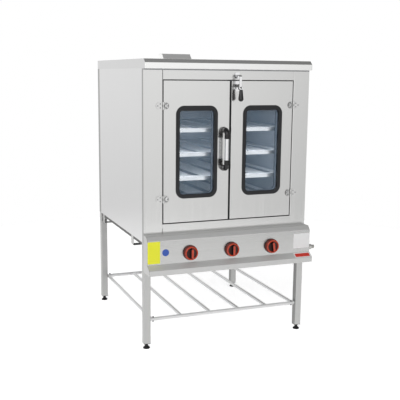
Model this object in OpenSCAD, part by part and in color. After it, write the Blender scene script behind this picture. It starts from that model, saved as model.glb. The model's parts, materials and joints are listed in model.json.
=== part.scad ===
// Free-standing two-door gas pastry oven on an open tube stand.
// Millimetres, Z up, front towards -Y. Modules are written in the cabinet's own
// coordinates: X from its left side, Y from its front face, Z from the floor.

/* [Cabinet] */
// Width across the side panels
cabinet_w = 960; // [920:1:1040]
// Depth from the front face to the back
cabinet_d = 960; // [900:1:1040]
// Height of the front frame's lower edge above the floor
frame_bottom_z = 629; // [620:1:660]
// Height of the front frame
frame_h = 866; // [860:1:900]
// How far the side and rear panels reach below the front frame
skirt_h = 41; // [36:1:46]
// Thickness of the outer sheets
sheet = 1.5; // [1:0.1:1.8]
// Width of the front post's return on the side
front_wrap = 23; // [18:1:30]
// Width of the rear panel's return on the side
rear_wrap = 43; // [42:1:60]
// Width of the inward hem under a side panel
hem_w = 7; // [5:0.5:7.5]

/* [Lid] */
// Height of the lid's lip
lid_h = 50; // [42:1:60]
// Overhang in front of the cabinet
lid_overhang = 30; // [24:1:36]
// Size of the bevel along the lid's front edge
lid_bevel = 19; // [12:1:22]
// Depth of the lid's return over the front frame
lid_return = 12; // [6:1:20]

/* [Front frame] */
// Width of the left post
post_left_w = 106; // [90:1:120]
// Width of the right post
post_right_w = 96; // [90:1:120]
// Height of the rail over the doors
header_h = 55; // [50:1:70]
// Height of the rail under the doors
sill_h = 55; // [45:1:70]
// Depth of the door rebate
rebate_d = 45; // [45:1:55]

/* [Doors] */
// Gap between a door and the frame
door_gap = 3.5; // [2:0.1:4]
// Gap between the two doors
meeting_gap = 10; // [9:0.5:14]
// Distance of the gap between the doors from the cabinet's middle, to the right
meeting_offset = 7; // [-20:1:20]
// Thickness of a door
door_t = 42; // [38:1:43]
// Share of the door's thickness made by the outer tray
skin_return = 20.5; // [16:0.5:26]
// Width of the strip seal in the meeting gap
strip_w = 5.5; // [4:0.1:6]
// Depth of the strip seal
strip_d = 22; // [14:1:24]
// Set-back of the strip seal from the front face
strip_setback = 8; // [4:1:12]

/* [Windows] */
// Width over the window seal
window_w = 230; // [200:1:240]
// Height over the window seal
window_h = 484; // [400:1:520]
// Height of the window above the door opening's lower edge
window_rise = 135; // [120:1:160]
// Distance from the meeting line to the left window
left_window_margin = 76; // [60:1:85]
// Distance from the meeting line to the right window
right_window_margin = 77; // [60:1:85]
// Outer corner radius of the window seal
window_r = 42; // [36:1:60]
// Visible width of the window seal
seal_w = 18; // [16:1:22]
// How far the seal's lip covers the sheet around it
seal_lip = 8; // [5:0.5:10]
// How far the seal stands out of the door
seal_out = 3; // [2:0.5:5]
// How far a pane sits in the seal
pane_bite = 5; // [3:0.5:6]
// Thickness of a pane
pane_t = 4; // [3:0.5:5]
// Set-back of the outer pane
outer_pane_y = 10; // [6:1:12]
// Set-back of the inner pane
inner_pane_y = 30; // [26:1:32]

/* [Hinges] */
// Height of a hinge leaf
hinge_h = 38; // [34:1:44]
// Reach of a leaf on a post from its axis
post_leaf = 40; // [34:1:46]
// Reach of a leaf on a door from its axis
door_leaf = 32; // [29:1:40]
// Thickness of a leaf
hinge_t = 2.5; // [2:0.1:3]
// Outer radius of the knuckles
knuckle_r = 5; // [4.6:0.1:5.5]
// Radius of the hinge pin
hinge_pin_r = 2.5; // [2:0.1:3]
// Distance from the door's face to the hinge axis
hinge_axis_out = 6; // [5.6:0.1:7]
// Height of the upper hinge above the door opening's lower edge
hinge_high = 622; // [580:1:660]
// Height of the lower hinge above the door opening's lower edge
hinge_low = 133; // [90:1:160]

/* [Handle] */
// Distance from the meeting line to the handle
handle_in = 37; // [30:1:44]
// Height of the handle's middle above the door opening's lower edge
handle_rise = 391; // [350:1:420]
// Distance of the bar from the door
handle_out = 45; // [40:1:55]
// Distance between the handle's two feet
handle_span = 205; // [180:1:230]
// Radius of the bar
bar_r = 12; // [8:0.5:12.5]
// Radius of the black ends
grip_end_r = 14; // [12.6:0.1:15]
// Length of the bright bar
bar_len = 114; // [90:1:120]
// Bend radius of the black ends
handle_bend = 26; // [18:1:30]

/* [Latch] */
// Distance from the meeting line to the latch's middle
latch_in = 36; // [30:1:40]
// Height of the lever's pivot below the door opening's upper edge
latch_drop = 29; // [28:0.5:32]
// Distance from the door to the lever's pivot
latch_out = 22; // [20:0.5:24]
// Width of the latch's base plate
latch_base_w = 36; // [33:1:44]
// Width of the hook strip
hook_w = 13.6; // [10:0.1:15]
// Thickness of the hook strip
hook_t = 3; // [2.5:0.1:3.2]
// Thickness of a lever cheek
cheek_t = 3.5; // [2.5:0.1:4]
// Gap between the latch's moving pieces
latch_gap = 0.5; // [0.4:0.1:0.7]
// Distance of the grip's middle in front of the lever's pivot
latch_grip_out = 29; // [24:1:31]
// Length of the black grip
latch_grip_len = 63; // [50:1:70]
// Radius of the grip at its thick end
latch_grip_r = 14; // [10:0.5:15]
// Radius of the grip at its top
latch_neck_r = 8.7; // [6:0.1:9.5]

/* [Oven chamber] */
// How far the chamber's wall stands inside the door opening
chamber_land = 12; // [8:1:20]
// Space behind the chamber for insulation
rear_insulation = 53; // [45:1:70]
// Thickness of the insulation beside and above the chamber
insulation_t = 50; // [40:1:60]
// Number of shelves
rack_count = 4;
// Distance between shelves
rack_pitch = 130; // [115:1:134]
// Height of the top shelf above the door opening's lower edge
rack_top_rise = 498; // [480:1:520]
// Height of a shelf's front lip
rack_lip = 20; // [14:1:24]
// Thickness of a shelf's sheet
rack_t = 2; // [1.5:0.1:2.5]
// Gap between a shelf and the chamber's wall
rack_gap = 4; // [2:0.5:6]
// Set-back of a shelf from the door rebate's floor
rack_setback = 17; // [12:1:30]
// Number of slots in a shelf
rack_slots = 5;
// Width of a slot
rack_slot_w = 46; // [30:1:60]
// Width of the shelf's border around its slots
rack_border = 44; // [30:1:60]
// Width of a shelf guide
guide_w = 20; // [14:1:26]

/* [Burners] */
// Number of burners, valves and knobs
burner_count = 3;
// Distance between the burners
burner_pitch = 240; // [220:1:260]
// Distance of the middle burner from the cabinet's middle, to the left
burner_offset = 2; // [-20:1:20]
// Radius of a burner tube
burner_r = 19; // [15:0.5:20]
// Radius of the mouth of a burner
burner_mouth_r = 24; // [21:0.5:25]
// Wall of a burner tube
burner_wall = 1.5; // [1:0.1:2]
// Space behind the burners
burner_back = 102; // [80:1:140]
// Start of a burner behind the front face
burner_start = 18; // [14:1:24]
// Number of flame slots in a burner
port_count = 12;
// Distance of the first flame slot from the burner's mouth
port_start = 130; // [115:1:160]
// Distance of the last flame slot from the burner's end
port_end = 50; // [20:1:80]
// Height of the strap that carries the burners, under the side panels' edge
strap_drop = 60; // [44:1:62]
// Width of a strap
strap_w = 44; // [30:1:50]
// Thickness of a strap
strap_t = 2; // [1.5:0.1:3]
// Distance of the front strap from the front face
strap_y = 219; // [160:1:260]

/* [Gas line] */
// Radius of the inlet thread and the manifold pipe
pipe_r = 10.48;
// Wall of the manifold pipe
pipe_wall = 2.6; // [2:0.1:3]
// Height of the manifold's middle below the front frame's lower edge
manifold_drop = 127; // [124:1:134]
// Distance of the manifold in front of the cabinet
manifold_out = 35; // [30:1:40]
// How far the inlet stands out of the side
inlet_out = 46; // [40:1:60]
// Length of free thread on the inlet
inlet_thread = 18; // [14:1:20]
// Width across the flats of the inlet's hexagon
inlet_hex = 27; // [24:1:30]
// Radius of the inlet's collar
inlet_collar_r = 13.5; // [12.5:0.5:16]
// Width of a valve body
valve_w = 32; // [26:1:40]
// Depth of a valve body
valve_d = 36; // [32:1:38]

/* [Control panel] */
// How far the flat top of the panel reaches forward
panel_top_d = 45; // [40:1:50]
// Size of the bevel along the top
panel_bevel = 21; // [15:1:22]
// Height of the panel's top above the front frame's lower edge
panel_rise = 2; // [2:0.5:4]
// Height of the upright face
panel_face_h = 127; // [119:1:130]
// Depth of the sloping ledge
ledge_d = 34; // [20:1:40]
// Drop of the sloping ledge
ledge_drop = 23; // [15:1:30]
// Height of the lower lip
panel_lip_h = 29; // [20:1:35]
// Depth of the return under the lip
panel_hem = 15; // [8:1:20]
// Width of the flanges that fasten the panel to the legs
panel_flange = 25; // [15:1:30]

/* [Knobs] */
// Height of the knobs below the top of the upright face
knob_drop = 75; // [66:1:78]
// Radius of the knob's rear disc
knob_skirt_r = 40; // [38:0.5:41]
// Radius of the knob's body
knob_r = 36; // [30:0.5:36.5]
// Thickness of the rear disc
knob_skirt_t = 4; // [3:0.5:5]
// Depth of the knob's body
knob_depth = 18; // [14:1:22]
// Height of the grip above the body
grip_h = 13; // [8:1:16]
// Width of the grip
grip_w = 13; // [12.5:0.5:16]
// Travel of a knob when it is pushed
knob_travel = 4; // [3:0.5:4]
// Free space behind a knob
knob_gap = 4.5; // [4.5:0.5:6]
// Radius of a spindle
spindle_r = 5; // [4:0.5:5.5]
// Turn of the right knob in the stored pose
knob_lean = 8; // [0:1:20]

/* [Flue] */
// Distance of the flue from the cabinet's middle, to the right
flue_offset = -3; // [-20:1:20]
// Distance of the cowl's open end from the cabinet's back
flue_back = 58; // [40:1:100]
// Width of the cowl
flue_w = 188; // [180:1:210]
// Height of the cowl
flue_h = 48; // [40:1:60]
// Depth of the cowl behind its slope
flue_flat = 62; // [60:1:70]
// Width of the duct
duct_w = 150; // [120:1:160]
// Depth of the duct
duct_d = 50; // [40:1:52]

/* [Stand] */
// Width of a square leg
leg_w = 38; // [34:1:40]
// Wall of a leg
leg_wall = 1.5; // [1.2:0.1:2]
// Height of the rail between a front and a rear leg
rail_h = 25; // [20:1:25]
// Width of that rail
rail_w = 20; // [18:1:22]
// Radius of the stand's round tubes
tube_r = 9.5; // [8:0.5:12]
// Wall of the round tubes
tube_wall = 1.5; // [1:0.1:2]
// Height of the round tubes' middle
tube_z = 160; // [140:1:260]
// Number of tubes from front to back
shelf_tube_count = 6;
// Distance from a leg to its corner bolt
bolt_in = 18.5; // [16:0.5:30]
// Radius of a bolt's shank
bolt_r = 3; // [2.5:0.1:3.5]
// Radius of a bolt's head
bolt_head_r = 4.6; // [4.2:0.1:6]
// Height of a bolt's head
bolt_head_h = 5; // [3:0.5:6]

/* [Feet] */
// Height of a leg's end above the floor
foot_h = 31; // [28:1:40]
// Thickness of the plastic flange under a leg
insert_t = 3; // [2:0.5:4]
// Length of the plastic plug in a leg
insert_plug = 20; // [12:1:30]
// Radius of a foot's disc
foot_r = 17; // [15:0.5:18]
// Radius of a foot's neck
foot_neck_r = 8; // [6.5:0.5:10]
// Radius of a foot's screw
screw_r = 5; // [4:0.5:6]

/* [Fits] */
// Radial clearance of a pin or spindle in its hole
run_fit = 0.05; // [0.03:0.01:0.1]
// Gap between pieces that slide past each other
slip = 0.4; // [0.3:0.1:0.6]
// Clearance around pipes and ducts that pass through a sheet
pass_gap = 1; // [0.6:0.1:1.6]

/* [Hidden] */
$fn = 48;

frame_top_z = frame_bottom_z + frame_h;
side_z = frame_bottom_z - skirt_h;
lid_top_z = frame_top_z + lid_h;
meeting_x = cabinet_w / 2 + meeting_offset;
flue_x = cabinet_w / 2 + flue_offset;
flue_y = cabinet_d - flue_back - flue_flat - flue_h;
burner_len = cabinet_d - burner_back - burner_start;
opening_x0 = post_left_w;
opening_x1 = cabinet_w - post_right_w;
opening_z0 = frame_bottom_z + sill_h;
opening_z1 = frame_top_z - header_h;
bevel_in = sheet * (sqrt(2) - 1);
chamber_x0 = opening_x0 + chamber_land;
chamber_x1 = opening_x1 - chamber_land;
chamber_z0 = opening_z0 + chamber_land;
chamber_z1 = opening_z1 - chamber_land;
chamber_y1 = cabinet_d - sheet - rear_insulation;
rack_x0 = chamber_x0 + rack_gap;
rack_x1 = chamber_x1 - rack_gap;
rack_y0 = rebate_d + rack_setback;
rack_y1 = chamber_y1 - rack_setback;
door_z0 = opening_z0 + door_gap;
door_z1 = opening_z1 - door_gap;
left_door_x = [opening_x0 + door_gap, meeting_x - meeting_gap / 2];
right_door_x = [meeting_x + meeting_gap / 2, opening_x1 - door_gap];
left_window_x = meeting_x - left_window_margin - window_w;
right_window_x = meeting_x + right_window_margin;
window_z = opening_z0 + window_rise;
hinge_left_x = opening_x0 + door_gap / 2;
hinge_right_x = opening_x1 - door_gap / 2;
hinge_zs = [opening_z0 + hinge_low, opening_z0 + hinge_high];
handle_x = meeting_x - handle_in;
handle_z = opening_z0 + handle_rise;
latch_x = meeting_x + latch_in;
latch_z = opening_z1 - latch_drop;
strap_top_z = side_z - strap_drop + strap_t;
burner_z = strap_top_z + burner_r;
panel_top_z = frame_bottom_z + panel_rise;
panel_front = panel_top_d + panel_bevel;
face_top_z = panel_top_z - panel_bevel;
face_bottom_z = face_top_z - panel_face_h;
ledge_z = face_bottom_z - ledge_drop;
lip_bottom_z = ledge_z - panel_lip_h;
lip_front = panel_front + ledge_d;
knob_z = face_top_z - knob_drop;
manifold_z = frame_bottom_z - manifold_drop;
knob_back = panel_front + knob_gap;
knob_front = knob_back + knob_skirt_t + knob_depth + grip_h;
valve_front = panel_front - sheet - 4;
leg_x = [sheet, cabinet_w - sheet - leg_w];
leg_y = [0, cabinet_d - sheet - leg_w];
tube_y = [leg_w / 2, cabinet_d - sheet - leg_w / 2];
rail_z = side_z + 1 - rail_h;
rail_x0 = sheet + (leg_w - rail_w) / 2;
bolt_xs = [sheet + leg_w + bolt_in, cabinet_w - sheet - leg_w - bolt_in];
origin_x = (cabinet_w + inlet_out) / 2;
origin_y = (cabinet_d - knob_front) / 2;

function unit(v) = v / norm(v);
function side_of(a, b) = [-unit(b - a)[1], unit(b - a)[0]];
function mitre(p, i, t) = i == 0 ? p[0] + t * side_of(p[0], p[1])
    : i == len(p) - 1 ? p[i] + t * side_of(p[i - 1], p[i])
    : p[i] + 2 * t * (side_of(p[i - 1], p[i]) + side_of(p[i], p[i + 1]))
    / pow(norm(side_of(p[i - 1], p[i]) + side_of(p[i], p[i + 1])), 2);
function burner_at(i) = cabinet_w / 2 - burner_offset + (i - (burner_count - 1) / 2) * burner_pitch;
function rack_z(i) = opening_z0 + rack_top_rise - i * rack_pitch;

module placed() {
    translate([-origin_x, -origin_y, 0])
        children();
}

module box(x0, x1, y0, y1, z0, z1) {
    translate([x0, y0, z0])
        cube([x1 - x0, y1 - y0, z1 - z0]);
}

// A flat shape in Y and Z, drawn out along X.
module along_x(x0, x1) {
    translate([x0, 0, 0])
        rotate([90, 0, 90])
            linear_extrude(x1 - x0)
                children();
}

// A flat shape in X and Z, drawn out along Y.
module along_y(y0, y1) {
    translate([0, y1, 0])
        rotate([90, 0, 0])
            linear_extrude(y1 - y0)
                children();
}

module up_from(z0, z1) {
    translate([0, 0, z0])
        linear_extrude(z1 - z0)
            children();
}

// A bent strip of constant thickness t beside the line p, on its left where t is positive.
module bent(p, t) {
    n = len(p) - 1;
    q = [for (i = [0 : n]) mitre(p, i, t)];
    right = t > 0 ? p : q;
    left = t > 0 ? q : p;
    polygon(concat(right, [for (i = [n : -1 : 0]) left[i]]));
}

module round_rect(x, z, w, h, r) {
    translate([x + r, z])
        square([w - 2 * r, h]);
    translate([x, z + r])
        square([w, h - 2 * r]);
    for (i = [0, 1])
        for (j = [0, 1])
            translate([x + r + i * (w - 2 * r), z + r + j * (h - 2 * r)])
                circle(r = r);
}

module rod_x(x0, x1, y, z, r) {
    translate([x0, y, z])
        rotate([0, 90, 0])
            cylinder(h = x1 - x0, r = r);
}

module rod_y(x, y0, y1, z, r) {
    translate([x, y1, z])
        rotate([90, 0, 0])
            cylinder(h = y1 - y0, r = r);
}

module rod_z(x, y, z0, z1, r) {
    translate([x, y, z0])
        cylinder(h = z1 - z0, r = r);
}

module duct_cut(grow, z0, z1) {
    box(flue_x - duct_w / 2 - grow, flue_x + duct_w / 2 + grow,
        flue_y + flue_h + 5 - grow, flue_y + flue_h + 5 + duct_d + grow, z0, z1);
}

// Lid: a tray turned over, with a bevelled front edge.
module lid() {
    ov = lid_overhang;
    color("#d9d9d7")
        placed()
            difference() {
                along_x(0, cabinet_w)
                    polygon([[-ov, frame_top_z], [-ov, lid_top_z - lid_bevel],
                        [-ov + lid_bevel, lid_top_z], [cabinet_d, lid_top_z],
                        [cabinet_d, frame_top_z]]);
                along_x(sheet, cabinet_w - sheet)
                    polygon([[-ov + sheet, frame_top_z + sheet],
                        [-ov + sheet, lid_top_z - lid_bevel - bevel_in],
                        [-ov + lid_bevel + bevel_in, lid_top_z - sheet],
                        [cabinet_d - sheet, lid_top_z - sheet],
                        [cabinet_d - sheet, frame_top_z - 1],
                        [lid_return, frame_top_z - 1],
                        [lid_return, frame_top_z + sheet]]);
                duct_cut(pass_gap, lid_top_z - 2 * sheet, lid_top_z + 1);
            }
}

module side_panel(x0, dir) {
    y0 = front_wrap;
    y1 = cabinet_d - rear_wrap;
    color("#d4d4d2")
        placed() {
            box(min(x0, x0 + dir * sheet), max(x0, x0 + dir * sheet), y0, y1, side_z, frame_top_z);
            box(min(x0 + dir * sheet, x0 + dir * (sheet + hem_w)),
                max(x0 + dir * sheet, x0 + dir * (sheet + hem_w)),
                leg_w + 4, cabinet_d - sheet - leg_w - 4, side_z, side_z + sheet);
        }
}

module rear_panel() {
    w = rear_wrap;
    color("#cfcfcd")
        placed()
            up_from(side_z, frame_top_z)
                bent([[cabinet_w, cabinet_d - w], [cabinet_w, cabinet_d],
                    [0, cabinet_d], [0, cabinet_d - w]], sheet);
}

// A post of the front frame: side return, face and door jamb from one sheet.
module post(left) {
    x0 = left ? 0 : cabinet_w;
    x1 = left ? post_left_w : cabinet_w - post_right_w;
    p = [[x0, front_wrap], [x0, 0], [x1, 0], [x1, rebate_d]];
    color("#dadad8")
        placed() {
            up_from(frame_bottom_z, frame_top_z)
                bent(p, left ? sheet : -sheet);
            box(left ? 0 : cabinet_w - sheet, left ? sheet : cabinet_w,
                0, front_wrap, side_z, frame_bottom_z);
        }
}

module header_rail() {
    color("#d8d8d6")
        placed()
            along_x(opening_x0, opening_x1)
                bent([[rebate_d, opening_z1], [0, opening_z1], [0, frame_top_z]], -sheet);
}

module sill_rail() {
    color("#d6d6d4")
        placed()
            along_x(opening_x0, opening_x1)
                bent([[rebate_d, opening_z0], [0, opening_z0], [0, frame_bottom_z],
                    [rebate_d, frame_bottom_z]], sheet);
}

module chamber_walls() {
    color("#b9bcbd")
        placed() {
            up_from(chamber_z0, chamber_z1 + sheet)
                bent([[opening_x0 - sheet, rebate_d], [chamber_x0, rebate_d],
                    [chamber_x0, chamber_y1 + sheet]], sheet);
            up_from(chamber_z0, chamber_z1 + sheet)
                bent([[opening_x1 + sheet, rebate_d], [chamber_x1, rebate_d],
                    [chamber_x1, chamber_y1 + sheet]], -sheet);
            difference() {
                along_x(opening_x0 - sheet, opening_x1 + sheet)
                    bent([[rebate_d, opening_z1 + sheet], [rebate_d, chamber_z1],
                        [chamber_y1 + sheet, chamber_z1]], sheet);
                duct_cut(-sheet, chamber_z1 - 1, chamber_z1 + 2 * sheet);
            }
            box(chamber_x0 - sheet, chamber_x1 + sheet, chamber_y1, chamber_y1 + sheet,
                chamber_z0 - sheet, chamber_z1 + sheet);
        }
}

module slots(x0, x1, y0, y1, z0, z1) {
    step = (x1 - x0 - rack_slot_w) / (rack_slots - 1);
    for (i = [0 : rack_slots - 1])
        box(x0 + i * step, x0 + i * step + rack_slot_w, y0, y1, z0, z1);
}

// Oven floor with long openings above the burners.
module chamber_floor() {
    color("#a9acad")
        placed()
            difference() {
                along_x(opening_x0 - sheet, opening_x1 + sheet)
                    bent([[rebate_d, opening_z0 - sheet], [rebate_d, chamber_z0],
                        [chamber_y1, chamber_z0]], -sheet);
                slots(rack_x0 + rack_border, rack_x1 - rack_border,
                    rack_y0 + rack_border, rack_y1 - rack_border,
                    chamber_z0 - 2 * sheet, chamber_z0 + 1);
            }
}

module insulation() {
    y0 = rebate_d + sheet;
    x0 = chamber_x0 - sheet;
    x1 = chamber_x1 + sheet;
    color("#c9c3ae")
        placed() {
            difference() {
                box(x0 - insulation_t, x1 + insulation_t, y0, cabinet_d - sheet,
                    chamber_z0, chamber_z1);
                box(x0, x1, y0 - 1, chamber_y1 + sheet, chamber_z0 - 1, chamber_z1 + 1);
            }
            difference() {
                box(x0 - insulation_t, x1 + insulation_t, y0, cabinet_d - sheet,
                    chamber_z1 + sheet, chamber_z1 + sheet + insulation_t);
                duct_cut(pass_gap, chamber_z1, frame_top_z + 1);
            }
        }
}

module rack_guides() {
    color("#b4b7b8")
        placed()
            for (i = [0 : rack_count - 1]) {
                z = rack_z(i) - rack_t;
                along_y(rack_y0 + 2 * rack_t, rack_y1)
                    bent([[chamber_x0, z - guide_w], [chamber_x0, z], [chamber_x0 + guide_w, z]],
                        -rack_t);
                along_y(rack_y0 + 2 * rack_t, rack_y1)
                    bent([[chamber_x1, z - guide_w], [chamber_x1, z], [chamber_x1 - guide_w, z]],
                        rack_t);
            }
}

// Slotted shelf with a turned-down front lip.
module rack(i) {
    z = rack_z(i);
    color("#e2e5e6")
        placed()
            difference() {
                along_x(rack_x0, rack_x1)
                    bent([[rack_y1, z], [rack_y0, z], [rack_y0, z - rack_lip]], rack_t);
                slots(rack_x0 + rack_border, rack_x1 - rack_border,
                    rack_y0 + rack_border, rack_y1 - rack_border, z - 2 * rack_t, z + 1);
            }
}

// Tube burner: a bell mouth, a throat and a long slotted tube with a closed end.
module burner(x) {
    throat = burner_r * 0.72;
    y0 = burner_start;
    y1 = burner_start + burner_len;
    w = burner_wall;
    translate([x, 0, burner_z])
        rotate([-90, 0, 0])
            rotate_extrude()
                polygon([[burner_mouth_r - w, y0], [burner_mouth_r, y0], [throat + w, y0 + 40],
                    [throat + w, y0 + 70], [burner_r, y0 + 110], [burner_r, y1], [0, y1],
                    [0, y1 - w], [burner_r - w, y1 - w], [burner_r - w, y0 + 110],
                    [throat, y0 + 70], [throat, y0 + 40]]);
}

module burners() {
    run = burner_len - port_start - port_end;
    color("#8f8f8d")
        placed()
            for (i = [0 : burner_count - 1])
                difference() {
                    burner(burner_at(i));
                    for (k = [0 : port_count - 1])
                        translate([burner_at(i) - burner_r * 0.6,
                            burner_start + port_start + k * run / (port_count - 1),
                            burner_z + burner_r * 0.5])
                            cube([burner_r * 1.2, 3, burner_r]);
                }
}

module burner_straps() {
    rear_y = leg_y[1] - 10 - strap_w;
    color("#c6c6c4")
        placed()
            for (y = [strap_y, rear_y])
                along_y(y, y + strap_w)
                    bent([[rail_x0 - strap_t, side_z - 1], [rail_x0 - strap_t, strap_top_z - strap_t],
                        [cabinet_w - rail_x0 + strap_t, strap_top_z - strap_t],
                        [cabinet_w - rail_x0 + strap_t, side_z - 1]], strap_t);
}

// Pipe across the panel with a hexagon and a free thread outside the right end.
module gas_manifold() {
    x0 = burner_at(0) - 60;
    x1 = cabinet_w + inlet_out;
    color("#b6ad93")
        placed()
            difference() {
                union() {
                    rod_x(x0, x1, -manifold_out, manifold_z, pipe_r);
                    rod_x(cabinet_w, cabinet_w + 6, -manifold_out, manifold_z, inlet_collar_r);
                    translate([x1 - inlet_thread - 18, -manifold_out, manifold_z])
                        rotate([0, 90, 0])
                            cylinder(h = 18, r = inlet_hex / sqrt(3), $fn = 6);
                }
                rod_x(x0 + 4, x1 + 1, -manifold_out, manifold_z, pipe_r - pipe_wall);
            }
}

module gas_valves() {
    bottom = manifold_z + pipe_r;
    color("#c8b070")
        placed()
            for (i = [0 : burner_count - 1])
                difference() {
                    union() {
                        box(burner_at(i) - valve_w / 2, burner_at(i) + valve_w / 2,
                            -valve_front, -valve_front + valve_d, bottom, burner_z + 12);
                        rod_y(burner_at(i), -valve_front + valve_d, burner_start - 4, burner_z, 5);
                    }
                    rod_y(burner_at(i), -valve_front - 1, -valve_front + 30, knob_z,
                        spindle_r + run_fit);
                }
}

module flue_duct() {
    color("#a9a9a7")
        placed()
            difference() {
                duct_cut(0, chamber_z1 + sheet, lid_top_z + 4);
                duct_cut(-sheet, chamber_z1, lid_top_z + 5);
            }
}

// Cowl over the flue: sloping front, flat top, closed sides and an open back.
module flue_cowl() {
    y2 = flue_y + flue_h + flue_flat;
    z2 = lid_top_z + flue_h;
    x0 = flue_x - flue_w / 2;
    color("#a2a2a0")
        placed()
            difference() {
                along_x(x0, x0 + flue_w)
                    polygon([[flue_y, lid_top_z], [flue_y + flue_h, z2], [y2, z2], [y2, lid_top_z]]);
                along_x(x0 + sheet, x0 + flue_w - sheet)
                    polygon([[flue_y + sheet + bevel_in - 1, lid_top_z - 1],
                        [flue_y + flue_h + bevel_in, z2 - sheet], [y2 + 1, z2 - sheet],
                        [y2 + 1, lid_top_z - 1]]);
            }
}

function panel_line() = [[0, panel_top_z], [-panel_top_d, panel_top_z], [-panel_front, face_top_z],
    [-panel_front, face_bottom_z], [-lip_front, ledge_z], [-lip_front, lip_bottom_z],
    [-lip_front + panel_hem, lip_bottom_z]];

// Control panel folded from one sheet: top, bevel, face, ledge, lip and hem.
module control_panel() {
    color("#cfcfcd")
        placed()
            difference() {
                along_x(sheet, cabinet_w - sheet)
                    bent(panel_line(), sheet);
                for (i = [0 : burner_count - 1])
                    rod_y(burner_at(i), -panel_front - 1, -panel_front + 4, knob_z, spindle_r + 2);
            }
}

module panel_ends() {
    color("#c9c9c7")
        placed()
            for (left = [true, false]) {
                x0 = left ? 0 : cabinet_w - sheet;
                f0 = left ? sheet : cabinet_w - sheet - panel_flange;
                difference() {
                    union() {
                        along_x(x0, x0 + sheet)
                            polygon([[0, panel_top_z], [-panel_top_d, panel_top_z],
                                [-panel_front, face_top_z], [-panel_front, face_bottom_z],
                                [-lip_front, ledge_z], [-lip_front, lip_bottom_z],
                                [0, lip_bottom_z]]);
                        box(f0, f0 + panel_flange, -sheet, 0, lip_bottom_z, frame_bottom_z - 1);
                    }
                    rod_x(cabinet_w - 5, cabinet_w + 5, -manifold_out, manifold_z, pipe_r + pass_gap);
                }
            }
}

module leg(x, y) {
    translate([x, y, 0])
        up_from(foot_h, frame_bottom_z)
            difference() {
                square([leg_w, leg_w]);
                translate([leg_wall, leg_wall])
                    square([leg_w - 2 * leg_wall, leg_w - 2 * leg_wall]);
            }
}

module front_legs() {
    color("#c4c4c2")
        placed()
            for (x = leg_x)
                leg(x, leg_y[0]);
}

module rear_legs() {
    color("#bdbdbb")
        placed()
            for (x = leg_x)
                leg(x, leg_y[1]);
}

module side_rails() {
    color("#b3b3b1")
        placed()
            for (x = [rail_x0, cabinet_w - rail_x0 - rail_w])
                along_y(leg_w, leg_y[1])
                    difference() {
                        translate([x, rail_z])
                            square([rail_w, rail_h]);
                        translate([x + leg_wall, rail_z + leg_wall])
                            square([rail_w - 2 * leg_wall, rail_h - 2 * leg_wall]);
                    }
}

module cross_tubes() {
    color("#cfcfcd")
        placed()
            for (y = tube_y)
                difference() {
                    rod_x(sheet + leg_w, cabinet_w - sheet - leg_w, y, tube_z, tube_r);
                    rod_x(sheet + leg_w - 1, cabinet_w - sheet - leg_w + 1, y, tube_z,
                        tube_r - tube_wall);
                    for (x = bolt_xs)
                        rod_z(x, y, tube_z - tube_r - 1, tube_z + tube_r + 1, bolt_r + run_fit);
                }
}

// Tubes from front to back, their ends cut to the round of the cross tubes.
module shelf_tubes() {
    first = sheet + leg_w + tube_r;
    step = (cabinet_w - 2 * first) / (shelf_tube_count - 1);
    color("#c9c9c7")
        placed()
            for (i = [0 : shelf_tube_count - 1])
                difference() {
                    rod_y(first + i * step, tube_y[0], tube_y[1], tube_z, tube_r);
                    rod_y(first + i * step, tube_y[0] - 1, tube_y[1] + 1, tube_z,
                        tube_r - tube_wall);
                    for (y = tube_y)
                        rod_x(0, cabinet_w, y, tube_z, tube_r);
                }
}

module corner_bolts() {
    color("#2a2a2c")
        placed()
            for (x = bolt_xs)
                for (y = tube_y) {
                    rod_z(x, y, tube_z - tube_r - 3, tube_z + tube_r + 1, bolt_r);
                    rod_z(x, y, tube_z + tube_r, tube_z + tube_r + bolt_head_h, bolt_head_r);
                    rod_z(x, y, tube_z - tube_r - 5, tube_z - tube_r, bolt_head_r);
                }
}

module leg_inserts() {
    inner = leg_w - 2 * leg_wall;
    color("#1d1d1f")
        placed()
            for (x = leg_x)
                for (y = leg_y)
                    difference() {
                        union() {
                            box(x, x + leg_w, y, y + leg_w, foot_h - insert_t, foot_h);
                            box(x + leg_wall, x + leg_wall + inner, y + leg_wall,
                                y + leg_wall + inner, foot_h, foot_h + insert_plug);
                        }
                        rod_z(x + leg_w / 2, y + leg_w / 2, 0, foot_h + insert_plug + 1,
                            screw_r + run_fit);
                    }
}

// Screw-in foot: disc, cone, neck and screw.
module foot(x, y) {
    top = foot_h - insert_t - slip;
    color("#161618")
        placed()
            translate([x + leg_w / 2, y + leg_w / 2, 0])
                rotate_extrude()
                    polygon([[0, 0], [foot_r - 1, 0], [foot_r, 1], [foot_r, 5], [foot_r - 1.5, 6.5],
                        [foot_neck_r, top * 0.55], [foot_neck_r, top], [screw_r, top],
                        [screw_r, foot_h + insert_plug], [0, foot_h + insert_plug]]);
}

// Rounded leaf of a hinge, drawn to the right of its axis.
module leaf_shape(reach) {
    r = hinge_h / 2;
    difference() {
        union() {
            translate([reach - r, 0])
                circle(r = r);
            translate([0, -r])
                square([reach - r, hinge_h]);
        }
        translate([-reach, -hinge_h])
            square([reach, 2 * hinge_h]);
    }
}

module frame_leaf(x, z, dir) {
    third = hinge_h / 3;
    translate([x, 0, z]) {
        along_y(-hinge_t, 0)
            difference() {
                scale([dir, 1])
                    leaf_shape(post_leaf);
                translate([-knuckle_r - slip, -third / 2 - slip])
                    square([2 * (knuckle_r + slip), third + 2 * slip]);
            }
        for (s = [-1, 1])
            rod_z(0, -hinge_axis_out, s > 0 ? third / 2 + slip : -hinge_h / 2,
                s > 0 ? hinge_h / 2 : -third / 2 - slip, knuckle_r);
        rod_z(0, -hinge_axis_out, -hinge_h / 2, hinge_h / 2, hinge_pin_r);
    }
}

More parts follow.
